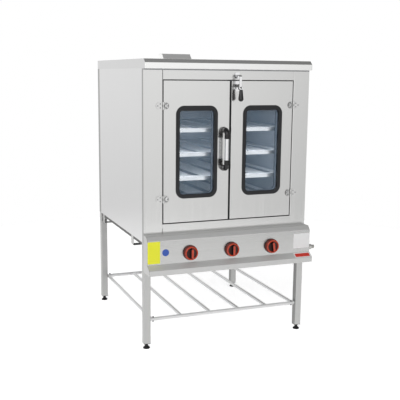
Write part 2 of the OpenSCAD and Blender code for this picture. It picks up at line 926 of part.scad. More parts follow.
module door_leaf(x, z, dir) {
    third = hinge_h / 3;
    translate([x, 0, z])
        difference() {
            union() {
                along_y(-hinge_t, 0)
                    difference() {
                        scale([dir, 1])
                            leaf_shape(door_leaf);
                        for (s = [-1, 1])
                            translate([-knuckle_r - slip, s > 0 ? third / 2 - slip : -hinge_h])
                                square([2 * (knuckle_r + slip), hinge_h - third / 2 + slip]);
                    }
                rod_z(0, -hinge_axis_out, -third / 2, third / 2, knuckle_r);
            }
            rod_z(0, -hinge_axis_out, -hinge_h, hinge_h, hinge_pin_r + run_fit);
        }
}

module frame_hinge_leaves() {
    color("#c9ccd0")
        placed()
            for (z = hinge_zs) {
                frame_leaf(hinge_left_x, z, -1);
                frame_leaf(hinge_right_x, z, 1);
            }
}

module door_hinge_leaves(left) {
    color("#c9ccd0")
        placed()
            for (z = hinge_zs)
                door_leaf(left ? hinge_left_x : hinge_right_x, z, left ? 1 : -1);
}

module window_hole(x, inset, y0, y1) {
    along_y(y0, y1)
        round_rect(x + inset, window_z + inset, window_w - 2 * inset, window_h - 2 * inset,
            window_r - inset);
}

// Outer tray of a door with a window hole.
module door_skin(dx, wx) {
    color("#dadad8")
        placed()
            difference() {
                box(dx[0], dx[1], 0, skin_return, door_z0, door_z1);
                box(dx[0] + sheet, dx[1] - sheet, sheet, skin_return + 1,
                    door_z0 + sheet, door_z1 - sheet);
                window_hole(wx, seal_lip, -1, sheet + 1);
            }
}

module door_inner(dx, wx) {
    color("#b9bcbd")
        placed()
            difference() {
                box(dx[0], dx[1], skin_return, door_t, door_z0, door_z1);
                box(dx[0] + sheet, dx[1] - sheet, skin_return - 1, door_t - sheet,
                    door_z0 + sheet, door_z1 - sheet);
                window_hole(wx, seal_lip, door_t - sheet - 1, door_t + 1);
            }
}

module panes(wx, grow) {
    for (y = [outer_pane_y, inner_pane_y])
        window_hole(wx, seal_w - pane_bite - grow, y, y + pane_t);
}

// Rubber surround that grips both sheets and both panes.
module window_seal(wx) {
    color("#2e3138")
        placed()
            difference() {
                union() {
                    window_hole(wx, 0, -seal_out, 0);
                    window_hole(wx, seal_lip, 0, door_t);
                    window_hole(wx, 2, door_t, door_t + 1.5);
                }
                window_hole(wx, seal_w, -seal_out - 1, door_t + 3);
                panes(wx, 0);
            }
}

module door_panes(wx) {
    color([0.45, 0.52, 0.56, 0.5])
        placed()
            panes(wx, 0);
}

module meeting_seal() {
    x1 = right_door_x[0];
    color("#26282c")
        placed()
            box(x1 - strip_w, x1, strip_setback, strip_setback + strip_d, door_z0, door_z1);
}

module handle_bar() {
    color("#d7d9db")
        placed()
            rod_z(handle_x, -handle_out, handle_z - bar_len / 2, handle_z + bar_len / 2, bar_r);
}

// Black elbow from the door to one end of the bar, built at its foot.
module handle_elbow() {
    reach = handle_out - handle_bend;
    rod_y(0, -reach, 0, 0, grip_end_r);
    rod_y(0, -3, 0, 0, grip_end_r + 2);
    translate([0, -reach, -handle_bend])
        rotate([0, -90, 0])
            rotate([0, 0, -90])
                rotate_extrude(angle = 90)
                    translate([handle_bend, 0])
                        circle(r = grip_end_r);
    rod_z(0, -handle_out, -handle_span / 2 + bar_len / 2, -handle_bend, grip_end_r);
}

module handle_ends() {
    color("#1b1b1d")
        placed()
            for (s = [0, 1])
                translate([handle_x, 0, handle_z])
                    mirror([0, 0, s])
                        translate([0, 0, handle_span / 2])
                            handle_elbow();
}

function hook_pivot() = [-latch_out - 18, -6];
function cheek_x() = hook_w / 2 + latch_gap;
function ear_x() = cheek_x() + cheek_t + latch_gap;

// Base of the latch: plate, two ears and the lever's pin.
module latch_base() {
    color("#c4c7cb")
        placed()
            translate([latch_x, 0, latch_z]) {
                box(-latch_base_w / 2, latch_base_w / 2, -2.5, 0, -30, 24);
                for (s = [-1, 1])
                    along_x(s > 0 ? ear_x() : -ear_x() - 3, s > 0 ? ear_x() + 3 : -ear_x())
                        union() {
                            translate([-latch_out, -7])
                                square([latch_out - 2, 14]);
                            translate([-latch_out, 0])
                                circle(r = 7);
                        }
                rod_x(-ear_x() - 3, ear_x() + 3, -latch_out, 0, 2.5);
            }
}

// Lever: two cheeks on the base's pin, the hook's pin and a foot for the grip.
module latch_lever() {
    h = hook_pivot();
    foot_y = -latch_out - latch_grip_out - latch_neck_r + 2;
    color("#c4c7cb")
        placed()
            translate([latch_x, 0, latch_z])
                difference() {
                    union() {
                        for (s = [-1, 1])
                            along_x(s > 0 ? cheek_x() : -cheek_x() - cheek_t,
                                s > 0 ? cheek_x() + cheek_t : -cheek_x())
                                union() {
                                    translate([-latch_out, 0])
                                        circle(r = 6);
                                    translate([h[0], h[1]])
                                        circle(r = 5.5);
                                    polygon([[-latch_out, 6], [h[0], h[1] + 5.5], [h[0] - 5.5, h[1]],
                                        [h[0] - 8, -20], [h[0] + 3, -20], [h[0] + 5, h[1] - 4],
                                        [-latch_out, -6]]);
                                }
                        box(-cheek_x() - cheek_t, cheek_x() + cheek_t, foot_y, h[0] + 3, -20, -16);
                        rod_x(-cheek_x() - 1, cheek_x() + 1, h[0], h[1], 2);
                    }
                    rod_x(-30, 30, -latch_out, 0, 2.5 + run_fit);
                }
}

// Tapered grip, thick and round at its lower end.
module latch_grip() {
    n = latch_grip_len;
    r = latch_grip_r;
    color("#19191b")
        placed()
            translate([latch_x, -latch_out - latch_grip_out, latch_z - 20 - n])
                rotate_extrude()
                    polygon(concat([[0, n], [latch_neck_r, n]],
                        [for (a = [0 : 15 : 75]) [r * cos(a), r - r * sin(a)]], [[0, 0]]));
}

// Hook: an eye on the lever's pin, an upright strip and a bend towards the keeper.
module latch_hook() {
    h = hook_pivot();
    top = latch_drop + 27;
    color("#d3d6da")
        placed()
            translate([latch_x, 0, latch_z])
                difference() {
                    along_x(-hook_w / 2, hook_w / 2)
                        union() {
                            translate([h[0], h[1]])
                                circle(r = 5);
                            bent([[h[0] - 5.5, h[1]], [h[0] - 5.5, top - 9], [h[0] + 2.5, top],
                                [-14.5, top]], -hook_t);
                        }
                    rod_x(-30, 30, h[0], h[1], 2 + run_fit);
                }
}

// Keeper on the header: plate, neck and the lip that the hook rests over.
module latch_keeper() {
    top = latch_drop + 27 - hook_t - slip;
    color("#c4c7cb")
        placed()
            translate([latch_x, 0, latch_z]) {
                box(-13, 13, -2, 0, latch_drop + 5, latch_drop + 40);
                box(-5, 5, -13, -2, latch_drop + 8, latch_drop + 15);
                box(-9, 9, -17, -13, latch_drop + 8, top);
            }
}

module spindle(i) {
    color("#c8b070")
        placed()
            rod_y(burner_at(i), -knob_front + grip_h + 4, -valve_front + 30 - knob_travel - 1,
                knob_z, spindle_r);
}

// Knob: rear disc, dished round body and a grip bar across it.
module knob(i) {
    y0 = knob_back;
    y1 = knob_back + knob_skirt_t;
    y2 = y1 + knob_depth;
    color("#c8432b")
        placed()
            translate([burner_at(i), 0, knob_z])
                rotate([0, i == burner_count - 1 ? -knob_lean : 0, 0])
                    difference() {
                        union() {
                            rotate([90, 0, 0])
                                rotate_extrude()
                                    polygon([[0, y0], [knob_skirt_r, y0], [knob_skirt_r, y1 - 1],
                                        [knob_skirt_r - 1, y1], [knob_r, y1], [knob_r, y2 - 5],
                                        [knob_r - 3, y2 - 1], [knob_r - 5, y2], [knob_r - 8, y2 - 2],
                                        [knob_r - 10, y2 - 6], [0, y2 - 6]]);
                            along_y(-y2 - grip_h, -y2 + 6)
                                round_rect(-grip_w / 2, -knob_r + 4, grip_w, 2 * knob_r - 8,
                                    grip_w / 2 - 0.1);
                        }
                        rod_y(0, -knob_front + grip_h + 3.5, 0, 0, spindle_r + run_fit);
                    }
}

lid();
side_panel(0, 1);  // side_panel_left
side_panel(cabinet_w, -1);  // side_panel_right
rear_panel();
post(true);  // post_left
post(false);  // post_right
header_rail();
sill_rail();
chamber_walls();
chamber_floor();
insulation();
rack_guides();
rack(0);  // rack_1
rack(1);  // rack_2
rack(2);  // rack_3
rack(3);  // rack_4
burners();
burner_straps();
gas_manifold();
gas_valves();
flue_duct();
flue_cowl();
control_panel();
panel_ends();
front_legs();
rear_legs();
side_rails();
cross_tubes();
shelf_tubes();
corner_bolts();
leg_inserts();
frame_hinge_leaves();
latch_keeper();
door_skin(left_door_x, left_window_x);  // left_door_skin
door_inner(left_door_x, left_window_x);  // left_door_inner
window_seal(left_window_x);  // left_window_seal
door_panes(left_window_x);  // left_panes
door_hinge_leaves(true);  // left_hinge_leaves
handle_bar();
handle_ends();
door_skin(right_door_x, right_window_x);  // right_door_skin
door_inner(right_door_x, right_window_x);  // right_door_inner
window_seal(right_window_x);  // right_window_seal
door_panes(right_window_x);  // right_panes
door_hinge_leaves(false);  // right_hinge_leaves
meeting_seal();
latch_base();
latch_lever();
latch_grip();
latch_hook();
spindle(0);  // spindle_1
spindle(1);  // spindle_2
spindle(2);  // spindle_3
knob(0);  // knob_1
knob(1);  // knob_2
knob(2);  // knob_3
foot(leg_x[0], leg_y[0]);  // foot_1
foot(leg_x[1], leg_y[0]);  // foot_2
foot(leg_x[0], leg_y[1]);  // foot_3
foot(leg_x[1], leg_y[1]);  // foot_4
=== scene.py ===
import json
import math

import bmesh
import bpy
from mathutils import Matrix, Vector

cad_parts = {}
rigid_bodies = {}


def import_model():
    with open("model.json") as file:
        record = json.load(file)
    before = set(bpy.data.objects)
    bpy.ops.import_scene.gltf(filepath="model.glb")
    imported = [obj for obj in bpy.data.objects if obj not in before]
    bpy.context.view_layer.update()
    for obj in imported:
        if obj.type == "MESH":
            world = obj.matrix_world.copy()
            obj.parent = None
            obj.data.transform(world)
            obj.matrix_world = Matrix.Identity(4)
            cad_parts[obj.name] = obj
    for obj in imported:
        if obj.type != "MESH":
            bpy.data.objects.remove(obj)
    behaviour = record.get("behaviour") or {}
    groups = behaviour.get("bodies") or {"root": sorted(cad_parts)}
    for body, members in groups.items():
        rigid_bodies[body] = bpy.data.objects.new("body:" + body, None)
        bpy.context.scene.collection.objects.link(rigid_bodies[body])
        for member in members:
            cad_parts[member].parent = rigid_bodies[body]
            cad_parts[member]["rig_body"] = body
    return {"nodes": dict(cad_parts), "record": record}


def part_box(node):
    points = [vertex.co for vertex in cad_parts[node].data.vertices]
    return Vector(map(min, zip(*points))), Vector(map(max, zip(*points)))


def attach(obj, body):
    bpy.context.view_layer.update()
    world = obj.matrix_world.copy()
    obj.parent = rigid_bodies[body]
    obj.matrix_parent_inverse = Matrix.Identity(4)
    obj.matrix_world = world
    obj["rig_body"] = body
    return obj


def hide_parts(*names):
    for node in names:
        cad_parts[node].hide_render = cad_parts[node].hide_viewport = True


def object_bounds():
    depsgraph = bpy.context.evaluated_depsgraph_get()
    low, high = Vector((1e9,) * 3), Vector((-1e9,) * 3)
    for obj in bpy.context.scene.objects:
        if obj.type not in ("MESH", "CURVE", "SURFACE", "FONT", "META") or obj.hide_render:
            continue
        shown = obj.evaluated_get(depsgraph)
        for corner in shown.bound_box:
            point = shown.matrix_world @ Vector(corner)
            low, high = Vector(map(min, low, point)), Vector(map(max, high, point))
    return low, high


bl_info = {
    "name": "Gas pastry oven",
    "version": (1, 0, 0),
    "blender": (4, 5, 0),
    "location": "View3D > Sidebar > Oven",
    "description": "Dresses a stainless gas pastry oven in folded sheet steel, glass, rubber and plastic",
    "category": "Object",
}

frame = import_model()
cad_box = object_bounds()
NODES = frame["nodes"]
SLOTS = {s["node"]: s["material_slot"] for s in frame["record"]["subparts"]}
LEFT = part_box("side_panel_left")[0].x
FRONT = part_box("left_door_skin")[0].y
MM = 0.001
X, Y, Z = 0, 1, 2
SIDES = ("left", "right")
# Points closer than this are one
WELD = 0.01 * MM
# A face narrower than this is a cut edge of sheet metal
SHEET_EDGE = 2.2 * MM


def linear(code):
    """A hex colour in sRGB as the linear values that Blender works with."""
    parts = [int(code[i:i + 2], 16) / 255 for i in (1, 3, 5)]
    return tuple(c / 12.92 if c <= 0.04045 else ((c + 0.055) / 1.055) ** 2.4 for c in parts) + (1.0,)


def shade(tone, factor):
    """The same colour, darker or lighter."""
    return tuple(min(1.0, c * factor) for c in tone[:3]) + (1.0,)


def every(mm):
    """The scale of a pattern whose marks come so many millimetres apart."""
    return 1 / (mm * MM)


def spot(x, y, z):
    """A place in millimetres from the cabinet's front left corner on the floor."""
    return Vector((LEFT + x * MM, FRONT + y * MM, z * MM))


def colour(name, text, code):
    return bpy.props.FloatVectorProperty(
        name=name, description=text, subtype="COLOR", size=4, min=0.0, max=1.0, default=linear(code))


def length(name, text, mm):
    return bpy.props.FloatProperty(
        name=name, description=text, default=mm * MM, min=0.0, unit="LENGTH", precision=5)


class OvenFinishes(bpy.types.PropertyGroup):
    door_steel: colour("Door steel", "Satin stainless steel of the doors and the front frame", "#DCDCDB")
    side_steel: colour("Side steel", "Satin stainless steel of the side and rear panels", "#D8D8D8")
    # Painted shade: the darker steel of the returns at the cabinet's corners
    return_steel: colour("Return steel", "Unpolished returns at the cabinet's corners", "#979796")
    # Painted light: the lid's near-white tone
    lid_steel: colour("Lid steel", "Brighter steel of the lid", "#FAFAF9")
    panel_steel: colour("Panel steel", "Satin stainless steel of the control panel", "#C1C1C0")
    stand_steel: colour("Stand steel", "Satin stainless steel of the square legs", "#B9B9B8")
    # Painted shade: grey steel on the stand's inner faces and the hinge leaves
    mill_steel: colour("Mill steel", "Unpolished steel inside the stand and under the cabinet", "#8B8B8A")
    cross_steel: colour("Cross tube steel", "Blasted steel of the stand's two cross tubes", "#F4F4F4")
    tube_steel: colour("Tube steel", "Polished stainless steel of the round tubes", "#E2E2E2")
    oven_steel: colour("Oven steel", "Aluminised steel of the oven chamber", "#A9AFB8")
    rack_steel: colour("Rack steel", "Bright steel of the shelves", "#E8ECF0")
    burner_steel: colour("Burner steel", "Heat-tinted steel of the burners", "#8C8A86")
    burner_heat: colour("Burner heat", "Brown blotches that heat leaves on the burners", "#6C5A48")
    bright_metal: colour("Bright metal", "Plated metal of handle and latch", "#F4F4F5")
    screw_zinc: colour("Screw zinc", "Zinc-plated screws of the hinges", "#A9AAAC")
    screw_stain: colour("Screw stain", "Duller blotches on the screws", "#77787A")
    # Real black oxide on the bolts, and painted shade on the hinge leaves and the latch
    black_oxide: colour("Black oxide", "Blackened steel of bolts and shaded edges", "#202022")
    oxide_stain: colour("Oxide stain", "Browner blotches on the blackened steel", "#2E2C2A")
    zinc: colour("Zinc", "Zinc-plated steel of the gas pipe", "#E4E4E0")
    brass: colour("Brass", "Turned brass of valves and spindles", "#C9AE6A")
    spacer: colour("Spacer", "Anodised spacer between the window's panes", "#8E98A6")
    wool: colour("Mineral wool", "Pressed mineral wool", "#B7A77C")
    rubber: colour("Rubber", "Window and meeting seals", "#101216")
    silicone: colour("Silicone", "Bead under the lid", "#A2A3A6")
    black_plastic: colour("Black plastic", "Handle ends, grip, feet and knob bodies", "#161618")
    red_plastic: colour("Red plastic", "Ring and pointer of the knobs", "#D0462A")
    # The panes' tint colours their veil, which is a painted reflection
    glass: colour("Glass", "Tint of the window panes", "#7F9EB8")
    yellow_film: colour("Yellow film", "Bare yellow film on the control panel", "#FFFF3A")
    blue_film: colour("Blue film", "Bare blue disc on the control panel", "#3C61BC")
    white_film: colour("White film", "Bare white film on the control panel", "#FCFCFC")
    red_film: colour("Red film", "Bare red film on the control panel's ledge", "#DC3A2E")
    floor: colour("Floor", "Pale studio floor", "#F6F6F6")


class OvenSizes(bpy.types.PropertyGroup):
    fold_outside: length("Fold outside", "Outside radius of a folded sheet", 2.4)
    fold_inside: length("Fold inside", "Inside radius of a folded sheet", 0.9)
    post_fold: length("Post fold", "Outside radius of the folds of the two posts", 4.5)
    edge_break: length("Edge break", "Width of a cut sheet's broken edge", 0.3)
    tube_corner: length("Tube corner", "Corner radius of a square tube", 2.5)
    bead_width: length("Bead width", "Width of the silicone bead under the lid", 3.0)
    bead_round: length("Bead round", "Rounding of the silicone bead", 1.0)
    casting_round: length("Casting round", "Rounding of the small cast and pressed pieces", 0.7)
    leaf_round: length("Leaf round", "Rounding of the hinge leaves", 0.5)
    bar_round: length("Bar round", "Rounding of the handle's bar", 0.6)
    bend_round: length("Bend round", "Rounding of the handle's ends and of the bolts", 0.8)
    insert_round: length("Insert round", "Rounding of the inserts in the legs", 0.6)
    foot_round: length("Foot round", "Rounding of the levelling feet", 0.4)
    seal_round: length("Seal round", "Rounding of the seal between the doors", 1.2)
    screw_radius: length("Screw radius", "Radius of a pan screw's head", 3.4)
    screw_height: length("Screw height", "Height of a pan screw's head", 1.8)
    thread_pitch: length("Thread pitch", "Distance between the gas thread's crests", 1.814)
    film_thickness: length("Film thickness", "Thickness of the films on the panel", 0.3)
    grain: length("Grain", "Distance between brushing lines, drawn coarser than the real 0.2 mm", 1.2)
    grain_run: length("Grain run", "Length of a brushing line", 180.0)
    rolling_mark: length("Rolling mark", "Distance between the cloudy marks of the rolling mill", 400.0)
    knob_lean: bpy.props.FloatProperty(name="Knob lean", description="Turn of the right knob from upright",
                                       default=math.radians(8), unit="ROTATION")


def finishes():
    return bpy.context.scene.oven_finishes


def sizes():
    return bpy.context.scene.oven_sizes


# Selection and editing

def only(*objects):
    if bpy.context.mode != "OBJECT":
        bpy.ops.object.mode_set(mode="OBJECT")
    bpy.ops.object.select_all(action="DESELECT")
    for obj in objects:
        obj.select_set(True)
    bpy.context.view_layer.objects.active = objects[0]


def edit(obj, kind="FACE", action="DESELECT"):
    only(obj)
    bpy.ops.object.mode_set(mode="EDIT")
    bpy.ops.mesh.select_mode(type=kind)
    bpy.ops.mesh.select_all(action=action)


def done(obj):
    bpy.ops.object.mode_set(mode="OBJECT")
    return obj


def close(obj):
    """Ends the editing of a closed piece, with its faces turned outwards."""
    bpy.ops.mesh.select_all(action="SELECT")
    bpy.ops.mesh.normals_make_consistent(inside=False)
    return done(obj)


def pick(obj, kind, test):
    """Selects the parts of the mesh being edited that pass the test, and says how many did."""
    bpy.ops.mesh.select_mode(type={"verts": "VERT", "edges": "EDGE", "faces": "FACE"}[kind])
    bpy.ops.mesh.select_all(action="DESELECT")
    mesh = bmesh.from_edit_mesh(obj.data)
    count = 0
    for part in getattr(mesh, kind):
        if test(part):
            part.select_set(True)
            count += 1
    mesh.select_flush_mode()
    bmesh.update_edit_mesh(obj.data)
    return count


def extent(obj):
    """The lowest and highest corners of a piece whose object sits at the origin."""
    places = [v.co for v in obj.data.vertices]
    return [end(p[k] for p in places) for end in (min, max) for k in range(3)]


def new_piece(name):
    obj = bpy.context.object
    obj.name = name
    obj.data.name = name
    return obj


def start_from(add, name, **settings):
    """A new piece from one of Blender's adding operators, with nothing else selected."""
    bpy.ops.object.select_all(action="DESELECT")
    add(**settings)
    return new_piece(name)


def place_in_mesh(obj):
    """Puts the piece's place and turn in its mesh, so that its object sits at the origin."""
    only(obj)
    bpy.ops.object.transform_apply(location=True, rotation=True, scale=True)
    return obj


def apply_modifier(obj, kind, **settings):
    only(obj)
    bpy.ops.object.modifier_add(type=kind)
    mod = obj.modifiers[-1]
    for key, value in settings.items():
        setattr(mod, key, value)
    bpy.ops.object.modifier_apply(modifier=mod.name)


def smooth(obj, angle=35):
    """Rounded edges shade softly, and the flat faces between them stay flat."""
    only(obj)
    bpy.ops.object.shade_smooth_by_angle(angle=math.radians(angle))
    apply_modifier(obj, "WEIGHTED_NORMAL", weight=80, keep_sharp=True)
    return obj


def join(name, pieces):
    only(*pieces)
    bpy.ops.object.join()
    return new_piece(name)


def wear(obj, *materials):
    """Gives the piece its materials in order; a face keeps the number of its own."""
    held = [face.material_index for face in obj.data.polygons]
    obj.data.materials.clear()
    for finish in materials:
        obj.data.materials.append(finish)
    for face, index in zip(obj.data.polygons, held):
        face.material_index = min(index, len(materials) - 1)


def paint(obj, index, test):
    """Gives the faces that pass the test another of the piece's materials."""
    for face in obj.data.polygons:
        if test(face):
            face.material_index = index


def facing(axis, least=0.9):
    """A test for faces that look along the axis, to either end."""
    return lambda face: abs(face.normal[axis]) > least


def turned_from(axis, most):
    """A test for faces that look away from the axis."""
    return lambda face: abs(face.normal[axis]) < most


def finish_piece(obj, body, slot, *replaced):
    obj = place_in_mesh(obj)
    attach(obj, body)
    if replaced:
        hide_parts(*replaced)
    return obj


def slim(face):
    """Whether the face is a cut edge of sheet metal, however often it turns."""
    return 2 * face.calc_area() / face.calc_perimeter() < SHEET_EDGE


def merged_copy(node, name):
    """A copy of a CAD solid with its loose triangles merged into whole faces."""
    obj = bpy.data.objects.new(name, NODES[node].data.copy())
    obj.data.name = name
    bpy.context.scene.collection.objects.link(obj)
    edit(obj, "VERT", "SELECT")
    bpy.ops.mesh.remove_doubles(threshold=WELD)
    bpy.ops.mesh.customdata_custom_splitnormals_clear()
    bpy.ops.mesh.dissolve_limited(angle_limit=math.radians(0.4))
    # A broad face that runs round a window would be filled across it
    if pick(obj, "faces", lambda f: len(f.verts) > 4 and not slim(f)):
        bpy.ops.mesh.vert_connect_concave()
    return done(obj)


def sharp(edge, low=28):
    """Whether the two faces at the edge turn by more than so many degrees."""
    return len(edge.link_faces) == 2 and edge.calc_face_angle(0) > math.radians(low)


def round_edges(obj, test, width, segments):
    edit(obj, "EDGE")
    if pick(obj, "edges", lambda e: sharp(e) and test(e)):
        bpy.ops.mesh.bevel(offset=width, segments=segments, affect="EDGES", clamp_overlap=True)
    return done(obj)


def folded(node, name, outside=None):
    """A folded sheet: round folds outside and inside, and lightly broken cut edges."""
    s = sizes()
    obj = merged_copy(node, name)
    broad = lambda e: not any(slim(f) for f in e.link_faces)
    round_edges(obj, lambda e: broad(e) and e.is_convex, outside or s.fold_outside, 3)
    round_edges(obj, lambda e: broad(e) and not e.is_convex, s.fold_inside, 2)
    round_edges(obj, lambda e: sharp(e, 60) and not broad(e), s.edge_break, 1)
    return smooth(obj)


def softened(node, name, width, segments=2, low=28):
    """A cast, pressed or moulded solid with all of its sharp edges rounded."""
    obj = merged_copy(node, name)
    round_edges(obj, lambda e: sharp(e, low), width, segments)
    return smooth(obj)


def face_normal():
    mesh = bmesh.from_edit_mesh(bpy.context.object.data)
    return next(f.normal.copy() for f in mesh.faces if f.select)


def stepped(steps):
    """Turns the face that is selected into a profile: each step goes in from the rim and out along the
    normal, in millimetres."""
    for inwards, out in steps:
        if inwards:
            bpy.ops.mesh.inset(thickness=inwards * MM, depth=out * MM, use_even_offset=True)
        else:
            bpy.ops.mesh.extrude_region_move(TRANSFORM_OT_translate={"value": face_normal() * (out * MM)})


def disc(name, radius, place, toward, sides):
    """A round face in edit mode, ready to be stepped. The radius is in millimetres."""
    obj = start_from(bpy.ops.mesh.primitive_circle_add, name, vertices=sides, radius=radius * MM,
                     fill_type="NGON", location=place)
    obj.rotation_euler = Vector(toward).to_track_quat("Z", "Y").to_euler()
    place_in_mesh(obj)
    edit(obj, "FACE", "SELECT")
    return obj


def pan_screw(name):
    """A pan screw at the origin that looks along +Z: a domed head with a cross recess."""
    s = sizes()
    r, h = s.screw_radius / MM, s.screw_height / MM
    head = disc(name, r, (0, 0, 0), (0, 0, 1), 20)
    stepped([(0, 0.35 * h), (0.08 * r, 0.25 * h), (0.2 * r, 0.25 * h), (0.3 * r, 0.15 * h)])
    close(head)
    long, narrow, deep = 1.1 * r * MM, 0.24 * r * MM, 0.9 * h * MM
    bars = []
    for scale in ((narrow, long, deep), (long, narrow, deep)):
        bar = start_from(bpy.ops.mesh.primitive_cube_add, "recess", size=1, location=(0, 0, s.screw_height))
        bar.scale = scale
        bars.append(place_in_mesh(bar))
    for bar in bars:
        apply_modifier(head, "BOOLEAN", object=bar, operation="DIFFERENCE", solver="EXACT")
        bpy.data.objects.remove(bar)
    return head


def screws(name, body, slot, finish, places):
    """One screw modelled and copied to each place, which is a point on the sheet and the way it faces."""
    first = pan_screw(name)
    pieces = []
    for k, (place, toward) in enumerate(places):
        turn = Vector(toward).to_track_quat("Z", "Y").to_matrix().to_4x4()
        # Each cross stops at another angle
        spin = Matrix.Rotation(math.radians(37 * k % 90), 4, "Z")
        mesh = first.data.copy()
        mesh.transform(Matrix.Translation(place) @ turn @ spin)
        obj = bpy.data.objects.new("screw", mesh)
        bpy.context.scene.collection.objects.link(obj)
        pieces.append(obj)
    bpy.data.objects.remove(first)
    obj = join(name, pieces)
    smooth(obj, 40)
    wear(obj, finish)
    return finish_piece(obj, body, slot)


# Radius of a film's corners, in millimetres
FILM_CORNER = 2


def film(name, corners, toward, finish):
    """A thin plate with rounded corners, laid on the four points given from its lower left one round."""
    obj = start_from(bpy.ops.mesh.primitive_plane_add, name, size=1, location=(0, 0, 0))
    order = sorted(range(4), key=lambda k: math.atan2(obj.data.vertices[k].co.y, obj.data.vertices[k].co.x))
    for k, place in zip(order, corners):
        obj.data.vertices[k].co = place
    edit(obj, "VERT", "SELECT")
    bpy.ops.mesh.bevel(offset=FILM_CORNER * MM, segments=5, affect="VERTICES")
    bpy.ops.mesh.select_all(action="SELECT")
    t = sizes().film_thickness
    bpy.ops.mesh.extrude_region_move(TRANSFORM_OT_translate={"value": Vector(toward).normalized() * t})
    bpy.ops.mesh.inset(thickness=0.6 * t)
    close(obj)
    smooth(obj, 30)
    wear(obj, finish)
    return finish_piece(obj, "cabinet", "sheet_steel")


def dress(node, finish):
    """A CAD solid that keeps its own shape gets its finish."""
    wear(NODES[node], finish)


def stand_for(obj, node, *materials):
    """The piece takes the place of its CAD solid and wears its materials in order."""
    wear(obj, *materials)
    return finish_piece(obj, NODES[node]["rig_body"], SLOTS[node], node)


def sheet_for(node, name, *materials, **folds):
    """A folded sheet in the place of its CAD solid."""
    return stand_for(folded(node, name, **folds), node, *materials)


def soft_for(node, name, width, *materials, **rounding):
    """A cast, pressed or moulded piece in the place of its CAD solid."""
    return stand_for(softened(node, name, width, **rounding), node, *materials)


# Materials

def add_node(tree, kind, sockets=None, **settings):
    """Adds a node with its settings. A socket's value is a number, a colour or another node's output."""
    node = tree.nodes.new(kind)
    for key, value in settings.items():
        setattr(node, key, value)
    for key, value in (sockets or {}).items():
        if isinstance(value, bpy.types.NodeSocket):
            tree.links.new(value, node.inputs[key])
        else:
            node.inputs[key].default_value = value
    return node


def material(name):
    """The material of that name, and its empty node tree where it is new."""
    found = bpy.data.materials.get(name)
    if found:
        return found, None
    mat = bpy.data.materials.new(name)
    mat.use_nodes = True
    mat.node_tree.nodes.clear()
    return mat, mat.node_tree


def satin_steel(name, tone, along, rough=0.30, contrast=0.05, bump=0.06, metallic=1.0):
    """Cold-rolled stainless sheet with a satin brushed finish. Long fine lines run along the brushing,
    a slow cloud of rolling marks lies under them, and reflections are soft but still readable."""
    mat, tree = material("%s_%s" % (name, "xyz"[along]))
    if tree is None:
        return mat
    s = sizes()
    # A streak is nine lines wide and two and a half lines long
    scale = [1.0 / s.grain] * 3
    wide = [v / 9 for v in scale]
    scale[along] = 1.0 / s.grain_run
    wide[along] = 1.0 / (2.5 * s.grain_run)
    where = add_node(tree, "ShaderNodeTexCoord").outputs["Object"]
    fine = add_node(tree, "ShaderNodeMapping", {"Vector": where, "Scale": scale})
    lines = add_node(tree, "ShaderNodeTexNoise",
                     {"Vector": fine.outputs["Vector"], "Scale": 1.0, "Detail": 3.0, "Roughness": 0.6})
    broad = add_node(tree, "ShaderNodeMapping", {"Vector": where, "Scale": wide})
    streaks = add_node(tree, "ShaderNodeTexNoise",
                       {"Vector": broad.outputs["Vector"], "Scale": 1.0, "Detail": 2.0, "Roughness": 0.5})
    cloud = add_node(tree, "ShaderNodeTexNoise",
                     {"Vector": where, "Scale": 1.0 / s.rolling_mark, "Detail": 2.0})
    both = add_node(tree, "ShaderNodeMath", {0: lines.outputs["Fac"], 1: streaks.outputs["Fac"]},
                    operation="ADD")
    half = add_node(tree, "ShaderNodeMath", {0: both.outputs[0], 1: 0.5}, operation="MULTIPLY")
    sheet = add_node(tree, "ShaderNodeMix", {"Factor": half.outputs[0], 6: shade(tone, 1 - contrast),
                                             7: shade(tone, 1 + contrast)}, data_type="RGBA")
    veil = add_node(tree, "ShaderNodeMix", {"Factor": cloud.outputs["Fac"], 6: sheet.outputs[2],
                                            7: shade(tone, 1 + contrast * 0.5)}, data_type="RGBA")
    gloss = add_node(tree, "ShaderNodeMapRange", {"Value": both.outputs[0], "From Min": 0.6, "From Max": 1.4,
                                                  "To Min": rough - 0.03, "To Max": rough + 0.05})
    relief = add_node(tree, "ShaderNodeBump", {"Height": lines.outputs["Fac"], "Strength": bump,
                                               "Distance": 0.4 * MM})
    bsdf = add_node(tree, "ShaderNodeBsdfPrincipled",
                    {"Base Color": veil.outputs[2], "Metallic": metallic,
                     "Roughness": gloss.outputs["Result"], "Normal": relief.outputs["Normal"]})
    add_node(tree, "ShaderNodeOutputMaterial", {"Surface": bsdf.outputs["BSDF"]})
    return mat


